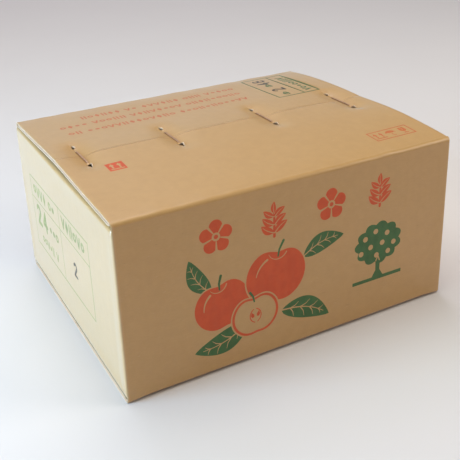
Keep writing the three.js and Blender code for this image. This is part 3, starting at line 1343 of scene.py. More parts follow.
@dataclass(kw_only=True)
class TopFlap(Panel):
    """A long top flap: it rises from its crease to the seam and dips under every staple."""

    side: int
    first_flute: float = BOARD.pitch / 4 - SIZES.flap_end
    tent_middle: float = 6.0
    tent_end: float = 5.0
    right_arch: float = 3.3
    belly: float = 0.3
    dip_half_width: float = 26.0
    dip_floor_half: float = 1.6
    dip_power: float = 2.2
    dip_full: float = 21.0
    dip_end: float = 50.0
    seam_gap: float = 0.4
    seam_roll: float = 0.12
    seam_roll_reach: float = 2.2
    step_down: float = 0.3
    sag_share: float = 0.15
    end_roll: float = 0.5
    end_roll_reach: float = 1.6
    torn_wider: float = 1.3
    seam_band: float = 4.0
    dip_band: float = 42.0
    crease_band: float = 6.0
    dip_grid: Point = (17.0, 40.0)

    def __post_init__(self) -> None:
        """Draws the flap's outline, its holes and the points in its papers."""
        self.warp = Ripple(23 + self.side, 120)
        ys = sorted((self.side * self.seam_gap / 2, self.side * SIZES.inner_y))
        end = SIZES.flap_end
        self.outline = divided(rectangle(-end, end, *ys), 1.8)
        columns = steps((-end, 3 - end, 0.6), (3 - end, end - 3, 4.5), (end - 3, end, 0.6))
        wide, coarse = grid(columns, self.rows(3.0, 8.0)), grid(steps((-end, end, 9.0)), self.rows(5.0, 16.0))
        self.lines = np.concatenate([wide, *(self.dip_lines(spot, 1.0) for spot in TOP_SPOTS)])
        self.coarse_lines = np.concatenate([coarse, *(self.dip_lines(spot, 3.0) for spot in TOP_SPOTS)])
        self.slits = [box(*WIRE.slit, spot.x, spot.y + self.side * WIRE.leg) for spot in TOP_SPOTS]
        self.hooks = NEAR_HOOKS if self.side < 0 else FAR_HOOKS
        self.holes = [hole.outline() for hole in self.hooks] + self.slits

    def rows(self, fine: float, wide: float) -> Array:
        """Grid lines across the flap, closer near the seam and on the crease.

        Args:
            fine: the step where they are closer.
            wide: the step elsewhere.

        Returns:
            Where the lines are, in millimetres.
        """
        far = SIZES.inner_y
        close, dipped, crease = self.seam_band, self.dip_band, far - self.crease_band
        near_seam, near_crease = (SIZES.seam, close, 0.9), (crease, far, 2.0)
        found = steps(near_seam, (close, dipped, fine), (dipped, crease, wide), near_crease)
        return np.sort(self.side * found)

    def dip_lines(self, spot: StapleSpot, step: float) -> Array:
        """Closer grid points round one staple.

        Args:
            spot: the staple.
            step: how far apart the points are along the seam.

        Returns:
            The points, in the flap's flat coordinates.
        """
        along, across = self.dip_grid
        xs = steps((spot.x - along, spot.x + along, step))
        ys = steps((spot.y - across, spot.y + across, step * 1.25))
        reach = self.side * ys
        return grid(xs, ys[(reach > SIZES.seam) & (reach < SIZES.inner_y)])

    def flute_rows(self) -> Array:
        """The rows of points along the flutes."""
        return self.rows(4.0, 16.0)

    def inner_holes(self) -> list[Array]:
        """The holes in the papers under the outer liner, torn wider by the hooks."""
        return [hole.outline(self.torn_wider) for hole in self.hooks] + self.slits

    def extra(self, mesh: PieceMesh) -> None:
        """Adds the torn lips that stand up round the hooks' holes."""
        for hole in self.hooks:
            hole.add_lip(mesh, self.level)

    def level(self, x: Array, y: Array) -> Array:
        """Finds the flap's upper face.

        Args:
            x: where the points are along the carton.
            y: where they are across it.

        Returns:
            Their height above the long creases.
        """
        rise = self.tent_end + (self.tent_middle - self.tent_end) * (1 - (x / SIZES.half_length) ** 2)
        share = np.clip(1 - np.abs(y) / SIZES.inner_y, 0, 1)
        bow = np.sin(math.pi * share)
        arch = self.right_arch * np.clip((x / SIZES.half_length + 1) / 2, 0, 1) ** 3 * bow
        level = rise * share + arch - self.belly * (1 + self.warp(x, y)) * bow**2
        level -= self.seam_roll * fading(np.abs(y) - SIZES.seam, self.seam_roll_reach)
        if self.side < 0:
            level -= self.step_down * smooth(share, 0.6, 1.0)
        for spot in TOP_SPOTS:
            level += (spot.seat - level) * self.grip(spot, x, y)
        for hole in self.hooks:
            level += hole.raised(x, y)
        level -= crease_sag(x, y) * fading(share, self.sag_share)
        return level - self.end_roll * fading(SIZES.flap_end - np.abs(x), self.end_roll_reach)

    def grip(self, spot: StapleSpot, x: Array, y: Array) -> Array:
        """How strongly a staple holds the boards.

        Args:
            spot: the staple.
            x: places along the seam, in millimetres.
            y: places across it.

        Returns:
            The hold at each place, from 0 to 1.
        """
        past = np.maximum(0, np.abs(x - spot.x) - self.dip_floor_half)
        across = np.clip(past / (self.dip_half_width - self.dip_floor_half), 0, 1)
        along = 1 - smooth(np.abs(y - spot.y), self.dip_full, self.dip_end)
        return (1 - across) ** self.dip_power * along

    def place(self, s: Array, t: Array, depth: Array) -> Array:
        """Where points at a depth below the outer face are, in millimetres."""
        return np.stack([s, t, SIZES.height + self.level(s, t) - depth], axis=1)

    def thickness(self, s: Array, t: Array) -> Array:
        """The board's thickness, pinched at the crease and crushed at the cut ends."""
        return super().thickness(s, t) - BOARD.crushed(SIZES.flap_end - np.abs(s))


@dataclass(kw_only=True)
class ShortFlap(Panel):
    """A short flap, top or bottom, lying under or over the long ones inside the carton."""

    upper: bool
    rise: float = 2.4
    flute_axis: Axis = Axis.Y
    crease_at: float = SIZES.inner_x
    torn_wider: float = 1.0

    def __post_init__(self) -> None:
        """Draws the flap's outline, its holes and the points in its papers."""
        low, high = span(self.node)
        self.reach = SIZES.half_length - min(abs(low[0]), abs(high[0]))
        half, side = SIZES.short_half, -1 if low[0] < 0 else 1
        near, far = sorted((abs(low[0]), SIZES.inner_x))
        xs = sorted((side * near, side * far))
        self.outline = divided(rectangle(-half, half, *xs), 3.0)
        self.lines = self.coarse_lines = grid(steps((-half, half, 12)), steps((*xs, 8)))
        if self.upper:
            torn = [hole.outline(self.torn_wider) for pair in zip(NEAR_HOOKS, FAR_HOOKS) for hole in pair
                    if hole.spot.x * side > 0]
            self.holes = [loop[::-1, ::-1] * (-1, 1) for loop in torn]

    def place(self, s: Array, t: Array, depth: Array) -> Array:
        """Lays the flat flap across the carton's end.

        Args:
            s: where the points are across the carton.
            t: where they are along it.
            depth: how deep they are below the outer face.

        Returns:
            Where they are on the carton.
        """
        if not self.upper:
            return np.stack([t, s, SIZES.end_bottom + depth], axis=1)
        out = np.clip((SIZES.half_length - np.abs(t)) / self.reach, 0, 1)
        lift = self.rise * out * np.clip(1 - np.abs(s) / SIZES.inner_y, 0, 1)
        return np.stack([t, -s, SIZES.end_top + lift - depth], axis=1)


@dataclass(kw_only=True)
class BottomFlap(Panel):
    """A long bottom flap, flat on the floor and grooved under its staples."""

    side: int
    first_flute: float = SIZES.flap_end - BOARD.pitch / 4
    groove_floor_half: float = 1.6
    groove_half_width: float = 6.0
    groove_depth: float = 1.3
    groove_full: float = 19.0
    groove_end: float = 23.0

    def __post_init__(self) -> None:
        """Draws the flap's outline, its slits and the points in its papers."""
        end = SIZES.flap_end
        ys = sorted((self.side * SIZES.seam, self.side * SIZES.inner_y))
        self.outline = divided(rectangle(-end, end, *ys), 3.0)
        rows = np.sort(self.side * steps((SIZES.seam, 26.0, 2.0), (26.0, SIZES.inner_y, 16.0)))
        columns = steps((-end, end, 9.0))
        near = np.concatenate([steps((-x - 7, -x + 7, 1.2)) for x in BOTTOM_X])
        self.lines = grid(np.unique(np.concatenate([columns, near])), rows)
        self.coarse_lines = grid(columns, rows)
        self.holes = [box(*WIRE.slit, -x, self.side * WIRE.leg) for x in BOTTOM_X]

    def groove(self, s: Array, t: Array) -> Array:
        """How deep the staples have pressed into the flap.

        Args:
            s: places along the flap, in millimetres.
            t: places across it.

        Returns:
            The depth at each place.
        """
        nearest = np.min([np.abs(-s - x) for x in BOTTOM_X], axis=0)
        across = 1 - smooth(nearest, self.groove_floor_half, self.groove_half_width)
        return self.groove_depth * across * (1 - smooth(np.abs(t), self.groove_full, self.groove_end))

    def place(self, s: Array, t: Array, depth: Array) -> Array:
        """Where points at a depth below the outer face are.

        Args:
            s: places along the panel, in its flat coordinates.
            t: places across it.
            depth: how far below the outer face each one is.

        Returns:
            The places on the carton, in millimetres.
        """
        lift = FOOTING.along(SIZES.half_length - np.abs(s))
        lift = lift * (1 - smooth(SIZES.inner_y - np.abs(t), 0.0, FOOTING.in_reach))
        return np.stack([-s, t, self.groove(s, t) + lift + depth], axis=1)

    def thickness(self, s: Array, t: Array) -> Array:
        """The board's thickness, pinched at the crease and crushed at the cut ends and grooves."""
        return super().thickness(s, t) - self.groove(s, t) - BOARD.crushed(SIZES.flap_end - np.abs(s)) * 0.5


@dataclass(kw_only=True)
class GluedLap(Panel):
    """The lap inside one corner, glued to the back wall."""

    node: str = "glued_lap"

    def __post_init__(self) -> None:
        """Draws the lap's outline and the points in its papers."""
        low, high = span(self.node)
        self.outer_y = high[1]
        self.outline = divided(rectangle(-high[0], -low[0], low[2], high[2]), 6.0)
        self.lines = self.coarse_lines = grid(steps((-high[0], -low[0], 8)), steps((low[2], high[2], 30)))

    def place(self, s: Array, t: Array, depth: Array) -> Array:
        """Where points at a depth below the outer face are, in millimetres."""
        return np.stack([-s, self.outer_y - depth, t], axis=1)

    def thickness(self, s: Array, t: Array) -> Array:
        """The board's thickness."""
        return np.full_like(s, BOARD.thickness)


# ---- Printing on the panels ---------------------------------------------------------------------------


@dataclass(frozen=True)
class FrontPrint:
    """The long front: a row of red motifs over a fruit picture and a green tree."""

    row_level: float = 148.5
    row_at: tuple[float, ...] = (-90.0, -27.5, 38.5, 98.5)
    leaves: tuple[tuple[float, ...], ...] = (
        (-98, 92, 118, 0.72), (-58, 46, 196, 1.0), (6, 100, 14, 0.8), (-20, 46, -22, 1.0),
    )

    def marks(self) -> list[Mark]:
        """The front's printing.

        Returns:
            All marks, placed on the wall's run and height.
        """
        leaf, row = Leaf(62, 26, 6).marks(), (Blossom(17.5).marks(), Sprig(34).marks()) * 2
        return laid_out(
            *((motif, x, self.row_level) for motif, x in zip(row, self.row_at)),
            *((leaf, *where) for where in self.leaves),
            (Apple(27).marks(), -86, 74, 10),
            (Apple(31).marks(), -26, 88, -5),
            (HalfApple(24).marks(), -50, 51, 4),
            (Tree().marks(), 99, 79),
        )


@dataclass(frozen=True)
class TopBackPrint:
    """The back flap: three red borders and a green framed label with stamped numbers."""

    rows: tuple[tuple[float, float, float], ...] = ((-124, 84, 119), (-156, 84, 95), (-154, 84, 70))
    stamp_x: float = 122

    def marks(self) -> list[Mark]:
        """The back flap's printing.

        Returns:
            All marks, placed in the carton's X and Y.
        """
        leaf = Leaf(14, 8, 1, 2, 0.9).marks()
        borders = [(ornament_row(31 + k, x1 - x0, 11.5, Ink.FAINT_RED), x0, y)
                   for k, (x0, x1, y) in enumerate(self.rows)]
        return laid_out(
            *borders,
            (frame_marks(Ink.GREEN, 59, 96, 1.7), 133.5, 93),
            (inked(Ink.GREEN, box(1.5, 94)), 141, 93),
            (ornament_row(41, 86, 13, Ink.GREEN), 152, 50, 90),
            (numeral(48, 17, Ink.BLACK), self.stamp_x, 119, 90),
            (numeral(2, 17, Ink.BLACK), self.stamp_x, 76, 90),
            (leaf, self.stamp_x, 92, 90),
            (leaf, self.stamp_x, 50, 90),
        )


@dataclass(frozen=True)
class TopFrontPrint:
    """The front flap: a red block by the first staple and a framed row of handling marks."""

    block: Point = (-141, -46)
    row_y: float = -117.5
    sign: float = 13.5

    def marks(self) -> list[Mark]:
        """The front flap's printing.

        Returns:
            All marks, placed in the carton's X and Y.
        """
        return laid_out(
            (inked(Ink.RED, box(18, 19)), *self.block),
            (arrows_up(14, Ink.BARE), *self.block),
            (frame_marks(Ink.FAINT_RED, 51.5, 21.5, 1.5), 141.5, self.row_y),
            (arrows_up(self.sign, Ink.FAINT_RED), 125.5, self.row_y),
            (umbrella(self.sign, Ink.FAINT_RED), 141.5, self.row_y),
            (goblet(self.sign, Ink.FAINT_RED), 157.5, self.row_y),
        )


@dataclass(frozen=True)
class LeftPrint:
    """The left end: a green table with a heading row, a few entries and stamped numbers. Its green is the
    green ink painted lighter, as painted light from the strong lamp on the left.
    """

    # Painted light: the table's pale green stands for the green ink washed out by the strong light on this
    # end.
    ink: Ink = Ink.FAINT_GREEN
    middle: Point = (-17.5, 92.5)

    def marks(self) -> list[Mark]:
        """The left end's printing.

        Returns:
            All marks, placed on the wall's run and height.
        """
        return laid_out(
            (frame_marks(self.ink, 200, 88, 1.4), *self.middle),
            (inked(self.ink, box(198, 1.2)), self.middle[0], 110),
            (inked(self.ink, box(1.2, 88)), -12, self.middle[1]),
            (ornament_row(52, 92, 17, self.ink), -110, 123),
            (ornament_row(53, 86, 17, self.ink), -6, 123),
            (numeral(24, 26, self.ink), -84, 92),
            (ornament_row(54, 44, 16, self.ink), -60, 91),
            (ornament_row(55, 74, 13, self.ink), -96, 64),
            (numeral(2, 17, Ink.BLACK), 30, 81),
        )


# ---- Shader graphs ----------------------------------------------------------------------------------


def operator(operation: str, swapped: bool = False) -> Callable[[Wire, Operand], Wire]:
    """Makes one arithmetic operator of Wire.

    Args:
        operation: the operation of the Math or Vector Math node that it adds.
        swapped: whether the wire is the second operand.

    Returns:
        The method.
    """

    def apply(self: Wire, other: Operand) -> Wire:
        """Adds the operator's node.

        Args:
            other: the other operand.

        Returns:
            What the node puts out.
        """
        sides = (other, self) if swapped else (self, other)
        if self.socket.type == "VALUE":
            return self.graph.node("ShaderNodeMath", {"operation": operation}, dict(enumerate(sides)))
        rows = [(side,) * 3 if isinstance(side, (int, float)) else side for side in sides]
        return self.graph.node("ShaderNodeVectorMath", {"operation": operation}, dict(enumerate(rows)))

    return apply


class Wire:
    """An output socket of a shader graph, used in Python arithmetic."""

    def __init__(self, graph: Graph, socket: bpy.types.NodeSocket) -> None:
        """Wraps a socket of a graph."""
        self.graph = graph
        self.socket = socket

    __add__ = operator("ADD")
    __radd__ = operator("ADD", swapped=True)
    __sub__ = operator("SUBTRACT")
    __rsub__ = operator("SUBTRACT", swapped=True)
    __mul__ = operator("MULTIPLY")
    __rmul__ = operator("MULTIPLY", swapped=True)

    def math(self, operation: str, other: Operand = 0.0) -> Wire:
        """Any other Math node on a value, such as SINE or ABSOLUTE."""
        return self.graph.node("ShaderNodeMath", {"operation": operation}, {0: self, 1: other})

    def between(self, low: float, high: float) -> Wire:
        """Eases from 0 at `low` to 1 at `high`."""
        sockets = {"Value": self, "From Min": low, "From Max": high}
        return self.graph.node("ShaderNodeMapRange", {"interpolation_type": "SMOOTHSTEP"}, sockets)


Operand = Wire | float | Sequence[float]


class Graph:
    """The shader graph of one material."""

    def __init__(self, name: str) -> None:
        """Starts an empty material."""
        self.material = bpy.data.materials.new(name)
        self.material.use_nodes = True
        self.tree = self.material.node_tree
        self.tree.nodes.clear()

    def node(
        self, kind: str, settings: dict | None = None, sockets: dict | None = None, out: int | str = 0
    ) -> Wire:
        """Adds a node.

        Args:
            kind: the node's type.
            settings: its properties, set before its sockets.
            sockets: values or wires for its input sockets, by name or number.
            out: which output to return.

        Returns:
            The chosen output.
        """
        made = self.tree.nodes.new(kind)
        for key, value in (settings or {}).items():
            setattr(made, key, value)
        for key, value in (sockets or {}).items():
            self.join(value, made.inputs[key])
        return Wire(self, made.outputs[out])

    def join(self, value: Operand, socket: bpy.types.NodeSocket) -> None:
        """Links a wire to a socket, or sets the socket to a value.

        Args:
            value: the wire, number, colour or vector.
            socket: the input that takes it.
        """
        if isinstance(value, Wire):
            self.tree.links.new(value.socket, socket)
        elif socket.type == "RGBA":
            socket.default_value = (*value, 1.0)
        else:
            socket.default_value = value

    def blend(self, share: Wire, first: Wire | Colour, second: Wire | Colour) -> Wire:
        """Mixes two colours.

        Args:
            share: how much of the second colour there is, from 0 to 1.
            first: the colour at 0.
            second: the colour at 1.

        Returns:
            The mixed colour.
        """
        factor, colour_a, colour_b, result = 0, 6, 7, 2
        sockets = {factor: share, colour_a: first, colour_b: second}
        return self.node("ShaderNodeMix", {"data_type": "RGBA"}, sockets, result)

    def place(self) -> Wire:
        """The place on the object, in millimetres."""
        return self.node("ShaderNodeTexCoord", out="Object") * (1 / MM)

    def along(self, at: Wire, axis: int) -> Wire:
        """One coordinate of a place."""
        return self.node("ShaderNodeSeparateXYZ", None, {0: at}, axis)

    def noise(self, at: Wire, scale: float, detail: float = 2.0, roughness: float = 0.5) -> Wire:
        """Smooth noise from 0 to 1, with about `scale` cells to a millimetre."""
        sockets = {"Vector": at, "Scale": scale, "Detail": detail, "Roughness": roughness}
        return self.node("ShaderNodeTexNoise", None, sockets)

    def surface(
        self, colour: Wire, roughness: Wire, relief: Wire, uniform: dict[str, float]
    ) -> bpy.types.Material:
        """Ends the graph in a Principled shader.

        Args:
            colour: the base colour.
            roughness: the roughness.
            relief: the height of the fine relief, in millimetres.
            uniform: values that are alike all over the surface, by socket name.

        Returns:
            The finished material.
        """
        bump = self.node("ShaderNodeBump", None, {"Strength": 1.0, "Distance": MM, "Height": relief})
        sockets = {"Base Color": colour, "Roughness": roughness, "Normal": bump, **uniform}
        shader = self.node("ShaderNodeBsdfPrincipled", None, sockets)
        output = self.tree.nodes.new("ShaderNodeOutputMaterial")
        self.tree.links.new(shader.socket, output.inputs["Surface"])
        return self.material


# ---- Finishes ---------------------------------------------------------------------------------------


@dataclass(frozen=True)
class Paper:
    """Unbleached kraft paper, as on the liners, with pulp clouds, fibres and flecks."""

    title: str = "kraft_liner"
    light: Colour = (0.530, 0.297, 0.108)
    dark: Colour = (0.489, 0.271, 0.095)
    fleck: Colour = (0.28, 0.15, 0.063)
    pale: Colour = (0.72, 0.51, 0.35)
    rough: float = 0.34
    sheen: float = 0.66
    coat: float = 0.3
    end_coat: float = 1.0
    end_polish: float = 1.5
    washboard: float = 0.02
    fibre_relief: float = 0.02
    cloud_relief: float = 0.05
    rubbed: float = 0.4
    fibre_stretch: float = 0.16

    def grain(self, graph: Graph, axis: Axis) -> tuple[Wire, Wire, Wire]:
        """The paper's look.

        Args:
            graph: the graph to add to.
            axis: the direction in which the flutes follow one another.

        Returns:
            Its colour, its roughness and the height of its relief in millimetres.
        """
        at = graph.place()
        drawn = at * ((self.fibre_stretch, 1.0, 1.0) if axis is Axis.X else (1.0, self.fibre_stretch, 1.0))
        cloud = graph.noise(at, 0.09, 3.0, 0.55)
        fibre = graph.noise(drawn, 1.1, 3.0, 0.7)
        fleck = graph.noise(drawn, 0.55, 2.0, 0.8).between(0.66, 0.78)
        pale = graph.noise(drawn + 31.0, 0.8, 2.0, 0.8).between(0.66, 0.8)
        wave = self.flute_wave(graph, at, axis)
        colour = graph.blend((cloud * 0.5 + fibre * 0.5).between(0.3, 0.7), self.dark, self.light)
        colour = graph.blend(fleck * 0.35, colour, self.fleck)
        colour = graph.blend(pale * 0.3, colour, self.pale)
        colour = graph.blend(wave * 0.07, colour, self.dark)
        colour = graph.blend(self.wear(graph, at) * self.rubbed, colour, self.pale)
        relief = wave * self.washboard + fibre * self.fibre_relief + cloud * self.cloud_relief
        return colour, fibre * 0.16 + self.rough, relief

    def flute_wave(self, graph: Graph, at: Wire, axis: Axis) -> Wire:
        """The faint washboard that the flutes leave in a liner, from 0 to 1."""
        return (graph.along(at, int(axis)) * (2 * math.pi / BOARD.pitch)).math("SINE") * 0.5 + 0.5

    def wear(self, graph: Graph, at: Wire) -> Wire:
        """Where the carton is rubbed pale: at its upright corners, and a little on its long creases.

        Args:
            graph: the graph to add to.
            at: the place on the carton.

        Returns:
            The wear, from 0 to 1.
        """
        middle = (0.0, 0.0, SIZES.height / 2)
        halves = (SIZES.half_length, SIZES.half_width, SIZES.height / 2)
        near = [
            (graph.along(at, axis) - centre).math("ABSOLUTE").between(half - 4.5, half + 0.5)
            for axis, (centre, half) in enumerate(zip(middle, halves))
        ]
        edges = near[0] * near[1] + near[1] * near[2] * 0.12
        worn = graph.noise(at, 0.12, 3.0, 0.6) * 0.5 + 0.55
        return (edges * worn).math("MINIMUM", 1.0)

    def material(self, axis: Axis) -> bpy.types.Material:
        """The finished paper."""
        graph = Graph(f"{self.title}_{axis.name.lower()}")
        return graph.surface(*self.grain(graph, axis), self.gloss(axis))

    def gloss(self, axis: Axis) -> dict[str, float]:
        """The paper's even sheen. The ends are the most polished by handling.

        Args:
            axis: the direction in which the flutes under it follow one another.

        Returns:
            Values of the shader's sockets, by name.
        """
        polish, coat = (self.end_polish, self.end_coat) if axis is Axis.Y else (1.0, self.coat)
        return {"Specular IOR Level": 0.59 * polish, "Sheen Weight": self.sheen * polish,
                "Sheen Roughness": 0.28, "Coat Weight": coat, "Coat Roughness": 0.16}


@dataclass(frozen=True)
class PrintedInk:
    """A thin water-based ink on the liner, broken up a little by fibres and flutes."""

    title: str
    tint: Colour
    deep: Colour
    coverage: float = 0.96
    sheen: float = 0.1
    paper: Paper = Paper()

    def material(self, axis: Axis) -> bpy.types.Material:
        """The inked paper.

        Args:
            axis: the direction in which the flutes under it follow one another.

        Returns:
            The finished material.
        """
        graph = Graph(f"{self.title}_{axis.name.lower()}")
        bare, roughness, relief = self.paper.grain(graph, axis)
        at = graph.place()
        film = graph.noise(at, 0.07, 3.0, 0.6)
        pinhole = graph.noise(at, 2.3, 2.0, 0.7).between(0.64, 0.76)
        ink = graph.blend(film.between(0.35, 0.65), self.deep, self.tint)
        starved = self.paper.flute_wave(graph, at, axis) * 0.02
        cover = (self.coverage - starved) - pinhole * 0.25
        gloss = {"Specular IOR Level": 0.4, "Sheen Weight": self.sheen, "Sheen Roughness": 0.28}
        return graph.surface(graph.blend(cover, bare, ink), roughness, relief, gloss)


@dataclass(frozen=True)
class DrawnWire:
    """Flat steel wire with a thin copper wash, scratched along its length."""

    title: str = "copper_washed_wire"
    bright: Colour = (0.60, 0.39, 0.27)
    dull: Colour = (0.30, 0.175, 0.115)

    def material(self) -> bpy.types.Material:
        """The finished wire.

        Returns:
            The material.
        """
        graph = Graph(self.title)
        at = graph.place()
        scratch = graph.noise(at * (1.0, 0.06, 0.06), 5.0, 3.0, 0.7)
        stain = graph.noise(at, 0.3, 3.0, 0.6).between(0.4, 0.7)
        colour = graph.blend(stain * 0.6 + scratch * 0.3, self.bright, self.dull)
        return graph.surface(colour, scratch * 0.25 + 0.36, scratch * 0.01, {"Metallic": 1.0})


class FinishBook:
    """Makes each finish once and hands it out."""

    def __init__(self) -> None:
        """Names the finish of every layer."""
        smooth_paper = {"washboard": 0.0, "rubbed": 0.0}
        self.kinds = {
            Layer.LINER: Paper(),
            Layer.RED: PrintedInk("red_ink", (0.62, 0.070, 0.014), (0.57, 0.060, 0.012)),
            Layer.GREEN: PrintedInk("green_ink", (0.026, 0.125, 0.036), (0.019, 0.103, 0.028)),
            Layer.BLACK: PrintedInk("black_stamp", (0.035, 0.03, 0.03), (0.02, 0.018, 0.018)),
            Layer.FAINT_RED: PrintedInk("faint_red_ink", (0.53, 0.105, 0.022), (0.49, 0.09, 0.02), 0.88),
            # Painted light: the pale green is the green ink lightened for the strong light on the left end.
            Layer.FAINT_GREEN: PrintedInk("painted_lit_green_ink", (0.22, 0.24, 0.07), (0.17, 0.20, 0.06), 0.92),
            Layer.INSIDE: Paper("kraft_inside", (0.50, 0.36, 0.23), (0.42, 0.29, 0.18), **smooth_paper),
            Layer.FLUTES: Paper("fluted_paper", (0.76, 0.52, 0.36), (0.66, 0.44, 0.30), **smooth_paper),
            Layer.CUT: Paper(
                "cut_edge", (0.90, 0.66, 0.47), (0.80, 0.56, 0.38), fibre_relief=0.05, **smooth_paper
            ),
        }
        self.made: dict[Axis, list[bpy.types.Material]] = {}
        self.wire = DrawnWire().material()

    def for_board(self, axis: Axis) -> list[bpy.types.Material]:
        """The slots of a board panel.

        Args:
            axis: the direction in which the panel's flutes follow one another.

        Returns:
            Its materials, in the order of Layer.
        """
        if axis not in self.made:
            self.made[axis] = [self.kinds[layer].material(axis) for layer in Layer]
        return self.made[axis]


# ---- Staples ----------------------------------------------------------------------------------------


@dataclass
class Staple:
    """A wide-crown carton staple of flat wire with rounded edges, clinched inside."""

    node: str
    leg_bend: float = 1.6
    crown_bend: float = 1.2
    clinch: float = 6.0
    edge_round: float = 0.4
    bend_points: int = 7
    edge_points: int = 4

    def path(self) -> tuple[Array, Array]:
        """The wire's run from tip to tip.

        Returns:
            The points of its middle and the direction of its thickness there, in Y and Z.
        """
        low, high = span(self.node)
        upright = high[2] > SIZES.height / 2
        half, up = WIRE.thickness / 2, 1.0 if upright else -1.0
        y0, y1 = low[1] + half, high[1] - half
        crown, foot = (high[2] - half, low[2] + half) if upright else (low[2] + half, high[2] - half)
        leg, top = self.leg_bend - half, self.crown_bend - half
        bends = [
            (y0 + leg, foot + up * leg, leg, 270, 180),
            (y0 + top, crown - up * top, top, 180, 90),
            (y1 - top, crown - up * top, top, 90, 0),
            (y1 - leg, foot + up * leg, leg, 0, -90),
        ]
        points = [[(low[1] + self.clinch, foot)]]
        normals = [[(0.0, -up)]]
        for y, z, radius, start, end in bends:
            out = arc(1.0, start, end, points=self.bend_points) * (1.0, up)
            points.append(out * radius + (y, z))
            normals.append(out)
        points.append([(high[1] - self.clinch, foot)])
        normals.append([(0.0, -up)])
        return np.concatenate(points), np.concatenate(normals)

    def section(self) -> tuple[Array, Array]:
        """The wire's rounded section.

        Returns:
            Its points across the wire's width and thickness, and its normals.
        """
        w, h = WIRE.width / 2 - self.edge_round, WIRE.thickness / 2 - self.edge_round
        sides = [(w, h), (-w, h), (-w, -h), (w, -h)]
        normals = [arc(1.0, 90 * k, 90 * k + 90, points=self.edge_points) for k in range(len(sides))]
        points = [out * self.edge_round + side for out, side in zip(normals, sides)]
        return np.concatenate(points), np.concatenate(normals)

    def build(self, finishes: FinishBook) -> bpy.types.Object:
        """Makes the staple by sweeping its section along its path.

        Args:
            finishes: where its material comes from.

        Returns:
            The piece.
        """
        low, high = span(self.node)
        path, outward = self.path()
        ring, ring_normals = self.section()
        count = len(ring)
        points, normals = np.zeros((2, len(path), count, 3))
        points[:, :, 0] = (low[0] + high[0]) / 2 + ring[:, 0]
        points[:, :, 1:] = path[:, None] + outward[:, None] * ring[:, 1][:, None]
        normals[:, :, 0] = ring_normals[:, 0]
        normals[:, :, 1:] = outward[:, None] * ring_normals[:, 1][:, None]
        flat, flat_normals = points.reshape(-1, 3), normals.reshape(-1, 3)
        quads = tube_quads(len(path), count)
        if (face_normals(flat, quads) * flat_normals[quads].mean(1)).sum(1).mean() < 0:
            quads = quads[:, ::-1]
        mesh = PieceMesh()
        first = mesh.add_points(flat)
        mesh.add_faces(first, quads, 0, flat_normals[quads])
        self.close(mesh, flat, np.arange(count)[None], path[1] - path[0])
        self.close(mesh, flat, np.arange(len(flat) - count, len(flat))[None], path[-2] - path[-1])
        piece = mesh.build(f"{self.node}_wire", [finishes.wire])
        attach(piece, BODY)
        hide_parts(self.node)
        return piece

    def close(self, mesh: PieceMesh, points: Array, cap: Array, inward: Array) -> None:
        """Closes one tip of the wire.

        Args:
            mesh: the staple.
            points: all its points.
            cap: the numbers of the tip's points.
            inward: the wire's direction away from the tip, in Y and Z.
        """
        away = -np.array([0, *inward]) / np.linalg.norm(inward)
        third = cap.size // 3
        a, b, c = points[cap[0, [0, third, 2 * third]]]
        face = cap if np.dot(np.cross(b - a, c - a), away) > 0 else cap[:, ::-1]
        mesh.add_faces(0, face, 0, np.tile(away, (cap.size, 1)))


# ---- Studio -----------------------------------------------------------------------------------------


@dataclass(frozen=True)
class View:
    """Where the camera stands, in metres and degrees. Its frame is square."""

    place: tuple[float, float, float] = (-0.3759, -0.7283, 0.4846)
    azimuth: float = 27.477
    elevation: float = -22.078
    roll: float = -2.107
    lens: float = 61.713
    sensor: float = 36.0
    shift: Point = (0.0119, -0.1550)
    clip: Point = (0.01, 50.0)

    def build(self) -> bpy.types.Object:
        """Makes the camera and sets it as the scene's.

        Returns:
            The camera.
        """
        data = bpy.data.cameras.new("camera")
        data.lens, data.sensor_width = self.lens, self.sensor
        data.shift_x, data.shift_y = self.shift
        data.clip_start, data.clip_end = self.clip
        camera = bpy.data.objects.new("camera", data)
        turn = Matrix.Rotation(-math.radians(self.azimuth), 4, "Z")
        tilt = Matrix.Rotation(math.radians(90 + self.elevation), 4, "X")
        roll = Matrix.Rotation(math.radians(self.roll), 4, "Z")
        camera.matrix_world = Matrix.Translation(self.place) @ turn @ tilt @ roll
        bpy.context.scene.collection.objects.link(camera)
        bpy.context.scene.camera = camera
        return camera


@dataclass(frozen=True)
class SoftLight:
    """A large soft box, aimed at a point of the carton or the floor behind it."""

    name: str
    place: tuple[float, float, float]
    aim: tuple[float, float, float]
    size: float
    power: float
    tint: Colour

    def build(self) -> None:
        """Makes the light."""
        data = bpy.data.lights.new(self.name, "AREA")
        data.shape, data.size, data.energy, data.color = "SQUARE", self.size, self.power, self.tint
        light = bpy.data.objects.new(self.name, data)
        light.location = self.place
        towards = Vector(self.aim) - Vector(self.place)
        light.rotation_euler = towards.to_track_quat("-Z", "Y").to_euler()
        bpy.context.scene.collection.objects.link(light)


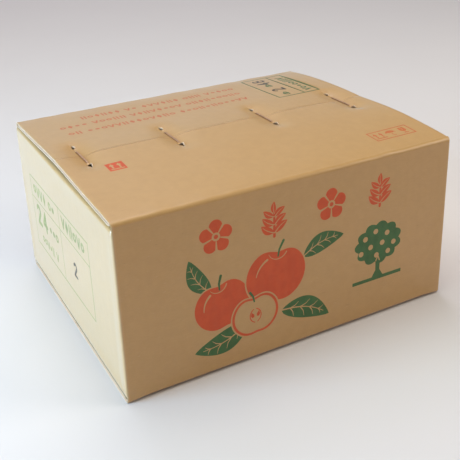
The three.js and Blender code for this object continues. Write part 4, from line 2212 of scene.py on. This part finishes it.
@dataclass(frozen=True)
class Studio:
    """A plain pale floor that runs back without an edge, under soft light, the most from the left."""

    half_floor: float = 9.0
    pale: Colour = (0.713, 0.667, 0.692)
    grey: Colour = (0.689, 0.643, 0.669)
    sky: Colour = (1.0, 1.0, 0.85)
    sky_strength: float = 0.2
    lights: tuple[SoftLight, ...] = (
        SoftLight("window", (-1.4, 0.1, 0.25), (0, 0, 0), 0.5, 31.5, (0.42, 0.73, 1.0)),
        SoftLight("ceiling", (-0.4, 0.1, 2.4), (0, 0, 0.1), 2.0, 43.0, (0.93, 0.95, 0.83)),
        SoftLight("right", (1.6, -1.0, 1.3), (0, 0, 0.1), 1.0, 16.5, (1.0, 0.95, 0.84)),
        SoftLight("backdrop", (0.8, 4.0, 4.5), (0.8, 4.0, 0.0), 3.0, 115.0, (0.79, 0.76, 0.88)),
    )

    def floor(self) -> None:
        """Makes the floor, at the height on which the carton stands."""
        h = self.half_floor
        mesh = bpy.data.meshes.new("floor")
        mesh.from_pydata([(*corner, 0) for corner in rectangle(-h, h, -h, h)], [], [(0, 1, 2, 3)])
        floor = bpy.data.objects.new("floor", mesh)
        bpy.context.scene.collection.objects.link(floor)
        graph = Graph("studio_floor")
        grain = graph.noise(graph.place(), 0.004, 2.0)
        colour = graph.blend(grain, self.pale, self.grey)
        gloss = {"Specular IOR Level": 0.2}
        mesh.materials.append(graph.surface(colour, grain * 0.1 + 0.55, grain * 0.0, gloss))

    def build(self) -> None:
        """Makes the floor, the lights and the sky."""
        self.floor()
        for light in self.lights:
            light.build()
        world = bpy.data.worlds.new("studio")
        world.use_nodes = True
        sky = world.node_tree.nodes["Background"].inputs
        sky["Color"].default_value, sky["Strength"].default_value = (*self.sky, 1.0), self.sky_strength
        bpy.context.scene.world = world
        bpy.context.scene.view_settings.view_transform = "Standard"


# ---- The carton -------------------------------------------------------------------------------------


@dataclass
class Carton:
    """The whole carton: four walls, eight flaps, the glued lap and eight staples."""

    finishes: FinishBook = field(default_factory=FinishBook)

    def walls(self) -> list[Panel]:
        """The four walls.

        Returns:
            The walls, front, back, left and right.
        """
        length, width = SIZES.half_length, SIZES.half_width
        short_tab = SIZES.short_half + SIZES.slot_margin
        long = dict(half_run=length, half_across=width, low=0.0, high=SIZES.height, tab_half=SIZES.flap_end)
        end = dict(
            half_run=width, half_across=length, low=SIZES.end_bottom, high=SIZES.end_top, tab_half=short_tab
        )
        return [
            Wall(node="front_wall", degrees=0, seed=1, marks=FrontPrint().marks(), **long),
            Wall(node="back_wall", degrees=180, seed=2, **long),
            Wall(node="left_wall", degrees=-90, seed=3, marks=LeftPrint().marks(), **end),
            Wall(node="right_wall", degrees=90, seed=4, **end),
        ]

    def flaps(self) -> list[Panel]:
        """The four top flaps, the four bottom flaps and the lap.

        Returns:
            The panels, top before bottom.
        """
        return [
            TopFlap(node="top_front_flap", side=-1, marks=TopFrontPrint().marks()),
            TopFlap(node="top_back_flap", side=1, marks=TopBackPrint().marks()),
            *(ShortFlap(node=f"top_{end}_flap", upper=True) for end in ("left", "right")),
            BottomFlap(node="bottom_front_flap", side=-1),
            BottomFlap(node="bottom_back_flap", side=1),
            *(ShortFlap(node=f"bottom_{end}_flap", upper=False) for end in ("left", "right")),
            GluedLap(),
        ]

    def build(self) -> None:
        """Makes every piece."""
        for panel in self.walls() + self.flaps():
            panel.build(self.finishes)
        for where in ("top", "bottom"):
            for i in STAPLE_NUMBERS:
                Staple(f"{where}_staple_{i}").build(self.finishes)


def corners(bounds: Iterable[Iterable[float]]) -> list[list[float]]:
    """A box as plain lists of numbers."""
    return [[float(value) for value in corner] for corner in bounds]


def main() -> None:
    """Builds the carton and its studio."""
    logging.basicConfig(level=logging.INFO, format="%(name)s: %(message)s")
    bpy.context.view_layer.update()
    Carton().build()
    Studio().build()
    View().build()


if __name__ == "__main__":
    main()
